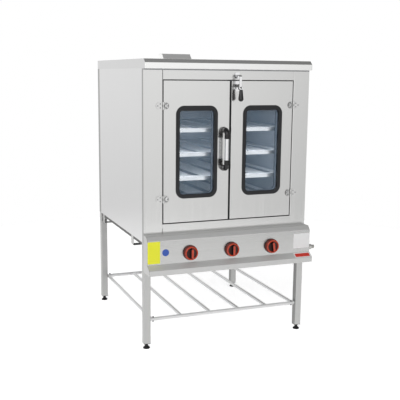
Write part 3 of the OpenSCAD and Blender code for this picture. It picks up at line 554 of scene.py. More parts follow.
def bright_plate(name, tone, rough=0.12):
    """Nickel-plated pressed steel: nearly a mirror, with fine wiping scratches and a few duller patches."""
    mat, tree = material(name)
    if tree is None:
        return mat
    where = add_node(tree, "ShaderNodeTexCoord").outputs["Object"]
    # Scratches 0.6 mm apart that run for 17 mm, and duller patches of 11 mm
    scratch = add_node(tree, "ShaderNodeMapping", {"Vector": where, "Rotation": (0.3, 0.2, 0.5),
                                                   "Scale": (every(0.625), every(3.33), every(16.7))})
    marks = add_node(tree, "ShaderNodeTexNoise", {"Vector": scratch.outputs["Vector"], "Scale": 1.0,
                                                  "Detail": 2.0})
    dull = add_node(tree, "ShaderNodeTexNoise", {"Vector": where, "Scale": every(11.1), "Detail": 3.0})
    tint = add_node(tree, "ShaderNodeMix", {"Factor": dull.outputs["Fac"], 6: shade(tone, 0.9),
                                            7: shade(tone, 1.04)}, data_type="RGBA")
    gloss = add_node(tree, "ShaderNodeMapRange", {"Value": dull.outputs["Fac"], "From Min": 0.3,
                                                  "From Max": 0.7, "To Min": rough - 0.03,
                                                  "To Max": rough + 0.08})
    relief = add_node(tree, "ShaderNodeBump", {"Height": marks.outputs["Fac"], "Strength": 0.05,
                                               "Distance": 0.2 * MM})
    bsdf = add_node(tree, "ShaderNodeBsdfPrincipled",
                    {"Base Color": tint.outputs[2], "Metallic": 1.0, "Roughness": gloss.outputs["Result"],
                     "Normal": relief.outputs["Normal"]})
    add_node(tree, "ShaderNodeOutputMaterial", {"Surface": bsdf.outputs["BSDF"]})
    return mat


def rough_metal(name, tone, stain, blot, gloss, metallic=1.0):
    """Unpolished metal that has seen heat, zinc bath or flux: blotches of a second tone, of the size given in
    millimetres, a finer spangle and an uneven gloss."""
    mat, tree = material(name)
    if tree is None:
        return mat
    where = add_node(tree, "ShaderNodeTexCoord").outputs["Object"]
    blots = add_node(tree, "ShaderNodeTexNoise", {"Vector": where, "Scale": every(blot), "Detail": 5.0,
                                                  "Roughness": 0.6})
    spangle = add_node(tree, "ShaderNodeTexVoronoi", {"Vector": where, "Scale": every(blot / 3)},
                       feature="F1")
    edge = add_node(tree, "ShaderNodeMapRange", {"Value": blots.outputs["Fac"], "From Min": 0.35,
                                                 "From Max": 0.7})
    tint = add_node(tree, "ShaderNodeMix", {"Factor": edge.outputs["Result"], 6: tone, 7: stain},
                    data_type="RGBA")
    sheen = add_node(tree, "ShaderNodeMapRange", {"Value": blots.outputs["Fac"], "From Min": 0.3,
                                                  "From Max": 0.7, "To Min": gloss[0], "To Max": gloss[1]})
    relief = add_node(tree, "ShaderNodeBump", {"Height": spangle.outputs["Distance"], "Strength": 0.1,
                                               "Distance": 0.3 * MM})
    bsdf = add_node(tree, "ShaderNodeBsdfPrincipled",
                    {"Base Color": tint.outputs[2], "Metallic": metallic,
                     "Roughness": sheen.outputs["Result"], "Normal": relief.outputs["Normal"]})
    add_node(tree, "ShaderNodeOutputMaterial", {"Surface": bsdf.outputs["BSDF"]})
    return mat


def moulded(name, tone, rough, grit, bump):
    """Injection-moulded or pressed polymer: even colour with faint flow marks, a fine spark-eroded grain of
    the grit given in millimetres, and a soft sheen."""
    mat, tree = material(name)
    if tree is None:
        return mat
    where = add_node(tree, "ShaderNodeTexCoord").outputs["Object"]
    grain = add_node(tree, "ShaderNodeTexNoise", {"Vector": where, "Scale": every(grit), "Detail": 3.0})
    # Flow marks of 17 mm
    flow = add_node(tree, "ShaderNodeTexNoise", {"Vector": where, "Scale": every(16.7), "Detail": 2.0})
    tint = add_node(tree, "ShaderNodeMix", {"Factor": flow.outputs["Fac"], 6: shade(tone, 0.85),
                                            7: shade(tone, 1.15)}, data_type="RGBA")
    gloss = add_node(tree, "ShaderNodeMapRange", {"Value": flow.outputs["Fac"], "From Min": 0.3,
                                                  "From Max": 0.7, "To Min": rough - 0.04,
                                                  "To Max": rough + 0.06})
    relief = add_node(tree, "ShaderNodeBump", {"Height": grain.outputs["Fac"], "Strength": bump,
                                               "Distance": 0.2 * MM})
    bsdf = add_node(tree, "ShaderNodeBsdfPrincipled",
                    {"Base Color": tint.outputs[2], "Roughness": gloss.outputs["Result"], "IOR": 1.5,
                     "Normal": relief.outputs["Normal"]})
    add_node(tree, "ShaderNodeOutputMaterial", {"Surface": bsdf.outputs["BSDF"]})
    return mat


def oven_glass(name, tone):
    """Tempered float glass: clear, with a pale blue veil on it that is a painted reflection, thinner and
    thicker in patches.
    """
    mat, tree = material(name)
    if tree is None:
        return mat
    where = add_node(tree, "ShaderNodeTexCoord").outputs["Object"]
    # Patches of 83 mm where the painted reflection is thinner and thicker
    haze = add_node(tree, "ShaderNodeTexNoise", {"Vector": where, "Scale": every(83.3), "Detail": 3.0})
    veil = add_node(tree, "ShaderNodeMapRange", {"Value": haze.outputs["Fac"], "From Min": 0.3,
                                                 "From Max": 0.7, "To Min": 0.06, "To Max": 0.10})
    gloss = add_node(tree, "ShaderNodeMapRange", {"Value": haze.outputs["Fac"], "From Min": 0.3,
                                                  "From Max": 0.7, "To Min": 0.05, "To Max": 0.12})
    bsdf = add_node(tree, "ShaderNodeBsdfPrincipled",
                    {"Base Color": tone, "Roughness": gloss.outputs["Result"], "IOR": 1.5,
                     "Alpha": veil.outputs["Result"]})
    add_node(tree, "ShaderNodeOutputMaterial", {"Surface": bsdf.outputs["BSDF"]})
    return mat


def printed_film(name, tone):
    """Self-adhesive vinyl: flat colour with a soft gloss and a faint ripple from the sheet under it."""
    mat, tree = material(name)
    if tree is None:
        return mat
    where = add_node(tree, "ShaderNodeTexCoord").outputs["Object"]
    # Ripples 22 mm apart
    ripple = add_node(tree, "ShaderNodeTexNoise", {"Vector": where, "Scale": every(22.2), "Detail": 2.0})
    tint = add_node(tree, "ShaderNodeMix", {"Factor": ripple.outputs["Fac"], 6: shade(tone, 0.97),
                                            7: shade(tone, 1.02)}, data_type="RGBA")
    gloss = add_node(tree, "ShaderNodeMapRange", {"Value": ripple.outputs["Fac"], "To Min": 0.3,
                                                  "To Max": 0.42})
    relief = add_node(tree, "ShaderNodeBump", {"Height": ripple.outputs["Fac"], "Strength": 0.08,
                                               "Distance": 0.3 * MM})
    bsdf = add_node(tree, "ShaderNodeBsdfPrincipled",
                    {"Base Color": tint.outputs[2], "Roughness": gloss.outputs["Result"], "IOR": 1.46,
                     "Normal": relief.outputs["Normal"]})
    add_node(tree, "ShaderNodeOutputMaterial", {"Surface": bsdf.outputs["BSDF"]})
    return mat


def mineral_wool():
    """Pressed mineral wool: matt, with short tangled fibres and dents."""
    mat, tree = material("mineral_wool")
    if tree is None:
        return mat
    tone = finishes().wool
    where = add_node(tree, "ShaderNodeTexCoord").outputs["Object"]
    # Fibres 1 mm thick, drawn coarser than the real ones, that turn every 8 mm
    fibre = add_node(tree, "ShaderNodeMapping", {"Vector": where,
                                                 "Scale": (every(1.11), every(8.33), every(3.33))})
    strands = add_node(tree, "ShaderNodeTexNoise", {"Vector": fibre.outputs["Vector"], "Scale": 1.0,
                                                    "Detail": 5.0})
    tint = add_node(tree, "ShaderNodeMix", {"Factor": strands.outputs["Fac"], 6: shade(tone, 0.7),
                                            7: shade(tone, 1.2)}, data_type="RGBA")
    relief = add_node(tree, "ShaderNodeBump", {"Height": strands.outputs["Fac"], "Strength": 0.6,
                                               "Distance": 1.0 * MM})
    bsdf = add_node(tree, "ShaderNodeBsdfPrincipled", {"Base Color": tint.outputs[2], "Roughness": 0.95,
                                                       "Normal": relief.outputs["Normal"]})
    add_node(tree, "ShaderNodeOutputMaterial", {"Surface": bsdf.outputs["BSDF"]})
    return mat


def door_steel(along):
    """Finely ground sheet of the doors and the frame: soft mirror images, drawn out along the grain."""
    return satin_steel("satin_steel_door", finishes().door_steel, along, rough=0.17, contrast=0.04, bump=0.02)


def side_steel(along):
    """Coarser ground sheet of the sides and the rear, with a duller reflection."""
    return satin_steel("satin_steel_side", finishes().side_steel, along, bump=0.03)


def return_steel(along):
    """Ground sheet of the corner returns, painted greyer and duller than the faces beside it as shade."""
    return satin_steel("satin_steel_return", finishes().return_steel, along)


def lid_steel(along):
    """Ground sheet with hardly any grain, whose nearly white tone is painted light from above."""
    return satin_steel("bright_satin_steel_lid", finishes().lid_steel, along, rough=0.24, contrast=0.03,
                       bump=0.01)


def lid_side_steel(along):
    """The lid's turned-down edges, painted a shade darker than the side panels."""
    return satin_steel("satin_steel_lid_side", shade(finishes().side_steel, 0.92), along, bump=0.03)


def cowl_steel(along):
    """Ground sheet scuffed matt, which spreads the light like pale paint; its tone, lifted above the panel's,
    is painted light.
    """
    return satin_steel("matt_ground_steel_cowl", shade(finishes().panel_steel, 1.2), along, rough=0.5,
                       bump=0.02, metallic=0.4)


def panel_steel(along):
    """Ground sheet with hardly any grain, of an even grey."""
    return satin_steel("satin_steel_panel", finishes().panel_steel, along, rough=0.24, contrast=0.03,
                       bump=0.01)


def ledge_steel(along):
    """The ledge, rubbed matt by use, with no reflection to read; its pale tone is painted light."""
    return satin_steel("matt_ground_steel_ledge", shade(finishes().panel_steel, 1.25), along, rough=0.45,
                       bump=0.02, metallic=0.3)


def hem_steel(along):
    """The panel's lower hem, matter than its face, and a little paler as painted light."""
    return satin_steel("satin_steel_hem", shade(finishes().panel_steel, 1.12), along, rough=0.42, bump=0.02,
                       metallic=0.8)


def bevel_steel(along):
    """The slope over the panel's face: matt, and pale with painted light because it looks up."""
    return satin_steel("satin_steel_bevel", shade(finishes().panel_steel, 1.3), along, rough=0.5, bump=0.02,
                       metallic=0.5)


def shoulder_steel(along):
    """The level shoulder over the slope, with a soft grey sheen."""
    return satin_steel("satin_steel_shoulder", finishes().panel_steel, along, rough=0.4, bump=0.02,
                       metallic=0.6)


def mill_steel(along):
    """Dull grey steel with cloudy marks, painted as shade on the legs' inner faces and on the hinge leaves.
    """
    return satin_steel("mill_finish_steel", finishes().mill_steel, along, rough=0.4, contrast=0.08)


def edge_steel(along):
    """Cut edges and faces in the seams and under the cabinet, painted nearly black as shade beside the
    polished ones.
    """
    return satin_steel("unpolished_edge_steel", shade(finishes().mill_steel, 0.42), along, rough=0.45,
                       contrast=0.08)


def stand_steel(along):
    """Ground square tube with a plain grey sheen."""
    return satin_steel("satin_steel_square_tube", finishes().stand_steel, along, rough=0.3)


def stand_side_steel(along):
    """The outer sides of the square tube, painted a shade darker than its front."""
    return satin_steel("satin_steel_tube_side", shade(finishes().stand_steel, 0.86), along)


def cross_steel(along):
    """Bead-blasted tube, pale and matt all round."""
    return satin_steel("blasted_steel_cross_tube", finishes().cross_steel, along, rough=0.42, bump=0.03,
                       metallic=0.3)


def tube_steel(along):
    """Machine-polished round tube: bright, with a soft line of light along it."""
    return satin_steel("polished_steel_round_tube", finishes().tube_steel, along, rough=0.34, bump=0.03,
                       metallic=0.7)


def oven_steel(along):
    """Aluminised sheet: matt silver grey with faint clouds."""
    return satin_steel("aluminised_oven_steel", finishes().oven_steel, along, rough=0.42, contrast=0.08,
                       metallic=0.45)


def rack_steel(along):
    """Bright annealed sheet: pale and even, with a wide soft shine."""
    return satin_steel("bright_annealed_shelf_steel", finishes().rack_steel, along, rough=0.36, metallic=0.3)


def shelf_lip_steel(along):
    """The shelf's front lip, painted far darker than the shelf as shade."""
    return satin_steel("bright_annealed_shelf_lip", shade(finishes().rack_steel, 0.22), along, metallic=0.3)


def hinge_steel(along):
    """Pressed and ground plate, with coarser lines and a livelier sheen than the doors."""
    return satin_steel("pressed_steel_hinge", finishes().door_steel, along, rough=0.22, contrast=0.08,
                       bump=0.1)


def spacer_aluminium(along):
    """Anodised aluminium is grey and matt beside steel."""
    return satin_steel("anodised_aluminium_spacer", finishes().spacer, along, rough=0.5, metallic=0.4)


def plated():
    """Nickel over pressed steel, on the handle and the latch."""
    return bright_plate("nickel_plated_steel", finishes().bright_metal)


def zinc_screw():
    """Bright zinc with a few duller flecks."""
    return rough_metal("zinc_plated_screw", finishes().screw_zinc, finishes().screw_stain, blot=4,
                       gloss=(0.25, 0.4))


def zinc_pipe():
    """Pipe from the zinc bath: pale and mottled, with a soft shine."""
    return rough_metal("zinc_plated_pipe", finishes().zinc, shade(finishes().zinc, 0.6), blot=20,
                       gloss=(0.35, 0.5), metallic=0.5)


def black_steel_and_shade():
    """Oiled black oxide: nearly black, with browner blotches and a low shine, on the bolts; the same black is
    painted shade on hinge leaves and the latch.
    """
    return rough_metal("black_oxide_steel", finishes().black_oxide, finishes().oxide_stain, blot=12,
                       gloss=(0.35, 0.5), metallic=0.8)


def turned_brass():
    """Turned brass: warm yellow with small duller spots."""
    return rough_metal("turned_brass", finishes().brass, shade(finishes().brass, 0.8), blot=10,
                       gloss=(0.2, 0.35))


def heat_tinted_steel():
    """Steel that the flame has tinted, in grey and brown blotches."""
    return rough_metal("heat_tinted_steel", finishes().burner_steel, finishes().burner_heat, blot=50,
                       gloss=(0.3, 0.5), metallic=0.9)


def black_plastic():
    """Moulded phenolic resin: deep black with a clear gloss."""
    return moulded("black_phenolic", finishes().black_plastic, rough=0.22, grit=1.2, bump=0.05)


def polished_black_plastic():
    """Polished phenolic resin, black with sharper highlights."""
    return moulded("polished_black_phenolic", finishes().black_plastic, rough=0.12, grit=1.2, bump=0.03)


def black_nylon():
    """Moulded nylon: black with a satin shine."""
    return moulded("black_nylon", finishes().black_plastic, rough=0.45, grit=0.9, bump=0.12)


def red_plastic():
    """Moulded phenolic resin in orange red, with a clear gloss."""
    return moulded("red_phenolic", finishes().red_plastic, rough=0.18, grit=1.2, bump=0.05)


def knob_plastics():
    """Skirt, red ring, dark well, and a darker red that is painted shade on the ring's side and inner wall.
    """
    red = finishes().red_plastic
    return (black_plastic(), red_plastic(),
            moulded("brown_phenolic", shade(red, 0.06), rough=0.4, grit=1.2, bump=0.05),
            moulded("dull_red_phenolic", shade(red, 0.3), rough=0.35, grit=1.2, bump=0.05))


def rubber():
    """Extruded rubber: nearly black and dull, with a fine grain."""
    return moulded("extruded_rubber", finishes().rubber, rough=0.42, grit=0.8, bump=0.1)


def silicone():
    """Cured silicone: grey and dull."""
    return moulded("grey_silicone", finishes().silicone, rough=0.5, grit=1.5, bump=0.1)


def vinyl(hue):
    """A bare vinyl film in one of its colours."""
    return printed_film(hue + "_vinyl", getattr(finishes(), hue + "_film"))


# Pieces. The named sizes between them are in millimetres, and the places are counted from the cabinet's front
# left corner on the floor

# Opposite corners of the silicone bead
BEAD_LOW, BEAD_HIGH = (0.3, -1.3, 1488.5), (959.7, 958.0, 1495.5)


class OVEN_OT_cabinet(bpy.types.Operator):
    """Lid, panels, posts and rails of the cabinet, and the flue"""
    bl_idname = "oven.cabinet"
    bl_label = "Cabinet"

    def execute(self, context):
        self.lid()
        for side in SIDES:
            sheet_for("side_panel_" + side, "side_sheet_" + side, side_steel(Z))
            post = sheet_for("post_" + side, "post_sheet_" + side, door_steel(Z), return_steel(Z),
                             outside=sizes().post_fold)
            # The post's side return takes the darker steel as painted shade
            paint(post, 1, facing(X))
        rear = sheet_for("rear_panel", "rear_sheet", side_steel(Z), return_steel(Z))
        # The rear panel's side returns take the darker steel as painted shade
        paint(rear, 1, facing(X))
        for rail in ("header", "sill"):
            sheet = sheet_for(rail + "_rail", rail + "_sheet", door_steel(X), edge_steel(X))
            # The rails' top and bottom faces in the seams take the nearly black steel as painted shade
            paint(sheet, 1, facing(Z, 0.7))
        cowl = sheet_for("flue_cowl", "flue_cowl_sheet", cowl_steel(X), lid_steel(Z))
        # The cowl's left face takes the near-white lid steel as painted light
        paint(cowl, 1, lambda f: f.normal.x < -0.9)
        dress("flue_duct", oven_steel(Z))
        self.joint()
        return {"FINISHED"}

    def lid(self):
        lid = folded("lid", "lid_sheet")
        # The rounding of its rear edge may not stand out past the solid's own face
        limit = cad_box[1].y
        edit(lid, "VERT")
        if pick(lid, "verts", lambda v: v.co.y > limit):
            bpy.ops.transform.resize(value=(1, 0, 1), center_override=(0, limit, 0))
        done(lid)
        stand_for(lid, "lid", lid_steel(X), lid_side_steel(Y))
        # The lid's sides take a darker copy of the side steel as painted shade
        paint(lid, 1, facing(X))

    def joint(self):
        """A bead of grey silicone where the lid meets the frame and the side panels; its grey line also
        stands in for the shadow under the lid.
        """
        low, high = spot(*BEAD_LOW), spot(*BEAD_HIGH)
        obj = start_from(bpy.ops.mesh.primitive_plane_add, "lid_joint_bead", size=1,
                         location=((low.x + high.x) / 2, (low.y + high.y) / 2, low.z))
        obj.scale = (high.x - low.x, high.y - low.y, 1)
        place_in_mesh(obj)
        edit(obj, "FACE", "SELECT")
        bpy.ops.mesh.inset(thickness=sizes().bead_width)
        # Only the frame round the middle stays
        largest = max(face.calc_area() for face in bmesh.from_edit_mesh(obj.data).faces)
        pick(obj, "faces", lambda f: f.calc_area() == largest)
        bpy.ops.mesh.delete(type="FACE")
        bpy.ops.mesh.select_all(action="SELECT")
        bpy.ops.mesh.extrude_region_move(TRANSFORM_OT_translate={"value": (0, 0, high.z - low.z)})
        pick(obj, "edges", lambda e: sharp(e) and e.is_convex)
        bpy.ops.mesh.bevel(offset=sizes().bead_round, segments=3, affect="EDGES", clamp_overlap=True)
        smooth(close(obj), 40)
        wear(obj, silicone())
        finish_piece(obj, "cabinet", "black_rubber")


SEAL_CORNER = 42
# Distance in from the window seal's outline, and height in front of the door's face
SEAL_SECTION = ((-3.4, 0), (-3.2, 1.5), (-2.2, 2.7), (-0.4, 3), (6, 2.9), (6.8, 2.2), (7.6, 1.9),
                (9.4, 1.9), (10.2, 2.2), (11, 2.9), (14.6, 3), (16.8, 2.6), (18, 1.4), (18, -10), (18, -42),
                (17.4, -43.4), (2.6, -43.4), (2, -42.8), (2, -42), (8, -42), (8, 0))
SPACER_SECTION = ((17.9, -14.3), (19.8, -14.3), (19.8, -15.3), (18.8, -16), (18.8, -28), (19.8, -28.7),
                  (19.8, -29.7), (17.9, -29.7))
# The lip's inner points, between two distances from the outline, hang lower along the top of the window, so
# that the dark rubber stands in for a shadow there
LIP_START, LIP_END, LIP_DROP, LIP_MARGIN = 14, 18.5, 6, 12
LIP_HEIGHT = 3
# How far the rubber may stand off the box of its solid
SEAL_SLACK = 4


class OVEN_OT_doors(bpy.types.Operator):
    """Door trays, glass and rubber seals"""
    bl_idname = "oven.doors"
    bl_label = "Doors"

    def execute(self, context):
        for side in SIDES:
            skin = sheet_for(side + "_door_skin", side + "_door_sheet", door_steel(Z), edge_steel(Z))
            # The door's sides and cut edges in the seam take the nearly black steel as painted shade
            paint(skin, 1, turned_from(Y, 0.4))
            sheet_for(side + "_door_inner", side + "_door_lining", oven_steel(Z))
            self.seal(side)
            dress(side + "_panes", oven_glass("tempered_glass", finishes().glass))
        soft_for("meeting_seal", "meeting_strip", sizes().seal_round, rubber(), segments=3)
        return {"FINISHED"}

    def seal(self, side):
        """A rubber section with a rounded lip and a locking strip in its groove, carried round the window,
        and the bright spacer between the two panes."""
        node = side + "_window_seal"
        low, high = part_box(node)
        obj = self.carried(node + "_rubber", low, high, SEAL_SECTION)
        # The lip hangs lower along the top: dark rubber put where there is shadow
        edit(obj, "VERT")
        pick(obj, "verts", lambda v: LIP_START < (high.z - v.co.z) / MM < LIP_END and v.co.y < FRONT - 1 * MM
             and low.x + LIP_MARGIN * MM < v.co.x < high.x - LIP_MARGIN * MM)
        bpy.ops.transform.translate(value=(0, 0, -LIP_DROP * MM))
        smooth(done(obj), 45)
        if max(abs(a - b) for a, b in zip(extent(obj), (*low, *high))) > SEAL_SLACK * MM:
            raise RuntimeError(node + " doesn't follow its window")
        stand_for(obj, node, rubber())
        spacer = smooth(self.carried(side + "_pane_spacer", low, high, SPACER_SECTION), 30)
        wear(spacer, spacer_aluminium(Z))
        finish_piece(spacer, side + "_door", SLOTS[side + "_door_inner"])

    def carried(self, name, low, high, section):
        """A section carried once round the box of a window seal, with round corners."""
        radius = SEAL_CORNER * MM
        face = low.y + LIP_HEIGHT * MM
        obj = start_from(bpy.ops.mesh.primitive_circle_add, name, vertices=len(section), radius=0.01,
                         fill_type="NOTHING", location=(0, 0, 0))
        start = Vector(((low.x + high.x) / 2, 0, high.z))
        for vert, (inset, out) in zip(obj.data.vertices, section):
            vert.co = start + Vector((0, face - out * MM, -inset * MM))
        edit(obj, "EDGE", "SELECT")
        corners = [(high.x - radius, high.z - radius), (high.x - radius, low.z + radius),
                   (low.x + radius, low.z + radius), (low.x + radius, high.z - radius)]
        runs = [Vector((high.x - radius - start.x, 0, 0)), Vector((0, 0, low.z - high.z + 2 * radius)),
                Vector((low.x - high.x + 2 * radius, 0, 0)), Vector((0, 0, high.z - low.z - 2 * radius))]
        for (cx, cz), run in zip(corners, runs):
            bpy.ops.mesh.extrude_region_move(TRANSFORM_OT_translate={"value": run})
            bpy.ops.mesh.spin(steps=12, angle=math.radians(-90), center=(cx, 0, cz), axis=(0, 1, 0))
        bpy.ops.mesh.extrude_region_move(TRANSFORM_OT_translate={"value": (start.x - low.x - radius, 0, 0)})
        bpy.ops.mesh.select_all(action="SELECT")
        bpy.ops.mesh.remove_doubles(threshold=WELD)
        return close(obj)


LEAF_THICKNESS = 2.5
KNUCKLE_RADIUS = 5
# Half the height of a leaf, and how far above and below its middle the pair of screws sits
LEAF_REACH, SCREW_RISE = 19, 10
# Distances from the pin of the pair and of the single screw
POST_SCREWS, DOOR_SCREWS = (17, 31), (15, 25)
GROOVE_MARGIN, GROOVE_WIDTH, GROOVE_DEPTH = 1.2, 3.2, 0.5


class OVEN_OT_hinges(bpy.types.Operator):
    """Hinge leaves with their screws"""
    bl_idname = "oven.hinges"
    bl_label = "Hinges"

    def execute(self, context):
        for owner, rim in (("frame", mill_steel(Z)), ("left", black_steel_and_shade()), ("right", black_steel_and_shade())):
            node = owner + "_hinge_leaves"
            leaves = soft_for(node, node + "_pressed", sizes().leaf_round, hinge_steel(Z), rim, mill_steel(Z))
            # The leaves' sides take the grey or the black steel as painted shade round their outline
            paint(leaves, 1, turned_from(Y, 0.5))
            if owner != "frame":
                self.groove(leaves)
        for side, way in zip(SIDES, (1, -1)):
            low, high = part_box(side + "_hinge_leaves")
            pin = low.x + KNUCKLE_RADIUS * MM if way > 0 else high.x - KNUCKLE_RADIUS * MM
            rows = [low.z + LEAF_REACH * MM, high.z - LEAF_REACH * MM]
            face = FRONT - LEAF_THICKNESS * MM
            for body, out, (pair, single) in (("cabinet", -way, POST_SCREWS),
                                              (side + "_door", way, DOOR_SCREWS)):
                places = [(Vector((pin + out * x * MM, face, z + up * MM)), (0, -1, 0)) for z in rows
                          for x, up in ((pair, SCREW_RISE), (pair, -SCREW_RISE), (single, 0))]
                screws("%s_%s_hinge_screws" % (body, side), body, "bright_metal", zinc_screw(), places)
        return {"FINISHED"}

    def groove(self, leaves):
        """A pressed groove along the edge of each door leaf, its slopes painted grey as shade."""
        edit(leaves, "FACE")
        if not pick(leaves, "faces", lambda f: f.normal.y < -0.99 and f.calc_area() > 100 * MM * MM):
            raise RuntimeError("the hinge leaves have no front face")
        bpy.ops.mesh.inset(thickness=GROOVE_MARGIN * MM, use_even_offset=True)
        bpy.ops.mesh.inset(thickness=GROOVE_WIDTH * MM, depth=-GROOVE_DEPTH * MM, use_even_offset=True)
        done(leaves)
        # Its slopes, which face a little less to the front than the flat leaf does, are painted grey as shade
        paint(leaves, 2, lambda f: -0.9985 < f.normal.y < -0.9)


class OVEN_OT_handle(bpy.types.Operator):
    """Door handle: bright bar between two black bent ends"""
    bl_idname = "oven.handle"
    bl_label = "Handle"

    def execute(self, context):
        soft_for("handle_bar", "handle_bar_polished", sizes().bar_round, plated())
        soft_for("handle_ends", "handle_ends_moulded", sizes().bend_round, black_plastic())
        return {"FINISHED"}


class OVEN_OT_latch(bpy.types.Operator):
    """Latch: base, lever, grip, hook and keeper"""
    bl_idname = "oven.latch"
    bl_label = "Latch"

    def execute(self, context):
        width = sizes().casting_round
        for node in ("latch_base", "latch_lever", "latch_hook", "latch_keeper"):
            # Pressed pieces are rounded less than the moulded grip, and their sides are painted black as
            # shade
            piece = soft_for(node, node + "_pressed", width * 0.6, plated(), black_steel_and_shade())
            paint(piece, 1, turned_from(Y, 0.35))
        soft_for("latch_grip", "latch_grip_moulded", width, polished_black_plastic())
        return {"FINISHED"}


# Heights on the panel that part its upper folds from the ledge, and the ledge from the hem
PANEL_MIDDLE, HEM_TOP = 500, 461


class OVEN_OT_control_panel(bpy.types.Operator):
    """Folded control panel and its end plates"""
    bl_idname = "oven.control_panel"
    bl_label = "Control panel"

    def execute(self, context):
        panel = sheet_for("control_panel", "control_panel_sheet", panel_steel(X), ledge_steel(X),
                          hem_steel(X), bevel_steel(X), shoulder_steel(X))
        middle, hem = PANEL_MIDDLE * MM, HEM_TOP * MM
        # The slope, the ledge and the hem wear lighter copies of the panel steel as painted light
        paint(panel, 3, lambda f: f.normal.z > 0.1 and f.center.z > middle)
        paint(panel, 4, lambda f: f.normal.z > 0.95 and f.center.z > middle)
        paint(panel, 1, lambda f: f.normal.z > 0.3 and f.center.z < middle)
        paint(panel, 2, lambda f: f.normal.y < -0.75 and f.center.z < hem)
        sheet_for("panel_ends", "panel_end_sheets", stand_steel(Z))
        return {"FINISHED"}


# From the rim of the skirt over its black side, the red side and the ring to the floor of the well
KNOB_STEPS = ((0, 3.0), (0.3, 0.7), (0.7, 0.3), (1.8, 0.1), (0.3, 0.7), (0.2, 1.2), (0.3, 0.3),
              (0.2, 11.8), (0.3, 1.3), (0.7, 1.3), (1.4, 0.8), (1.7, 0.3), (1.8, -0.5), (1.3, -1.2),
              (0.9, -2.0), (0.8, -2.6), (0.6, -0.8), (1.2, -0.3))
# Radii and depths, from the back of the knob, that part its colours
RING_OUTSIDE, RING_INSIDE, WELL_RADIUS = 32.0, 28.6, 26.9
SKIRT_DEPTH, SIDE_DEPTH, WALL_DEPTH, WELL_DEPTH = 3.1, 16.5, 10, 6.4
POINTER_WIDTH, POINTER_LENGTH, POINTER_CORNER, POINTER_FOOT = 14, 53, 6.6, 11
POINTER_RED = 0.78


class OVEN_OT_knobs(bpy.types.Operator):
    """Three round knobs: black skirt and well, red ring, and a pointer bar with a red top; the bar's black
    sides and a darker red on the ring's side are painted shade
    """
    bl_idname = "oven.knobs"
    bl_label = "Knobs"

    def execute(self, context):
        first = self.knob()
        low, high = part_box("knob_1")
        home = (low + high) / 2
        for i in (1, 2, 3):
            node = "knob_%d" % i
            low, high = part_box(node)
            place = (low + high) / 2
            obj = bpy.data.objects.new(node + "_moulded", first.data.copy())
            context.scene.collection.objects.link(obj)
            lean = Matrix.Rotation(-sizes().knob_lean if i == 3 else 0, 4, "Y")
            obj.data.transform(Matrix.Translation(place) @ lean @ Matrix.Translation(-home))
            obj.data.name = obj.name
            stand_for(obj, node, *knob_plastics())
            dress("spindle_%d" % i, turned_brass())
        bpy.data.objects.remove(first)
        return {"FINISHED"}

    def knob(self):
        low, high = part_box("knob_1")
        radius = (high.x - low.x) / 2 / MM
        tall = (high.y - low.y) / MM
        back = Vector(((low.x + high.x) / 2, high.y, (low.z + high.z) / 2))
        depth = lambda f: (high.y - f.center.y) / MM
        off = lambda f: math.hypot(f.center.x - back.x, f.center.z - back.z) / MM
        cup = disc("knob", radius, back, (0, -1, 0), 72)
        stepped(KNOB_STEPS)
        close(cup)
        wear(cup, *knob_plastics())
        paint(cup, 1, lambda f: depth(f) > SKIRT_DEPTH and off(f) > RING_INSIDE)
        paint(cup, 2, lambda f: depth(f) > WELL_DEPTH and off(f) < WELL_RADIUS)
        # The knob's side and the well's inner wall take the darker red as painted shade
        paint(cup, 3, lambda f: SKIRT_DEPTH < depth(f) < SIDE_DEPTH and off(f) > RING_OUTSIDE
              or depth(f) > WALL_DEPTH and WELL_RADIUS < off(f) < RING_INSIDE)
        bar = start_from(bpy.ops.mesh.primitive_plane_add, "pointer", size=1, location=(0, 0, 0))
        bar.scale = (POINTER_WIDTH * MM, POINTER_LENGTH * MM, 1)
        bar.rotation_euler = (math.radians(90), 0, 0)
        bar.location = back - Vector((0, POINTER_FOOT * MM, 0))
        place_in_mesh(bar)
        edit(bar, "VERT", "SELECT")
        bpy.ops.mesh.bevel(offset=POINTER_CORNER * MM, segments=8, affect="VERTICES")
        bpy.ops.mesh.select_all(action="SELECT")
        # A foot, the straight sides and the rounded top. Without the sides they take 3.4 mm
        stepped([(0, 2.0), (0.2, tall - POINTER_FOOT - 3.4), (0.35, 0.45), (0.5, 0.25), (0.35, 0.0),
                 (0.3, 0.35), (0.4, 0.35)])
        close(bar)
        # The pointer's sides are black as painted shade; only its top is red
        wear(bar, black_plastic(), red_plastic())
        paint(bar, 1, lambda f: depth(f) > tall - POINTER_RED)
        return smooth(join("knob", [cup, bar]), 40)


# Left, right, bottom and top of the films on the panel's face, and the middle and radius of the round one
YELLOW_FILM = (0.8, 69.5, 489, 607)
WHITE_FILM = (858, 958.5, 508, 591)
BLUE_MIDDLE, BLUE_RADIUS = (100, 545), 19
# The ledge falls by 23 mm over 34 mm. Its film has a left and a right edge, and lies down along the slope
LEDGE_TOP, LEDGE_DEPTH, LEDGE_FALL = 483, 34, 23
RED_LEFT, RED_RIGHT, RED_START, RED_RUN = 857, 957, 4, 35


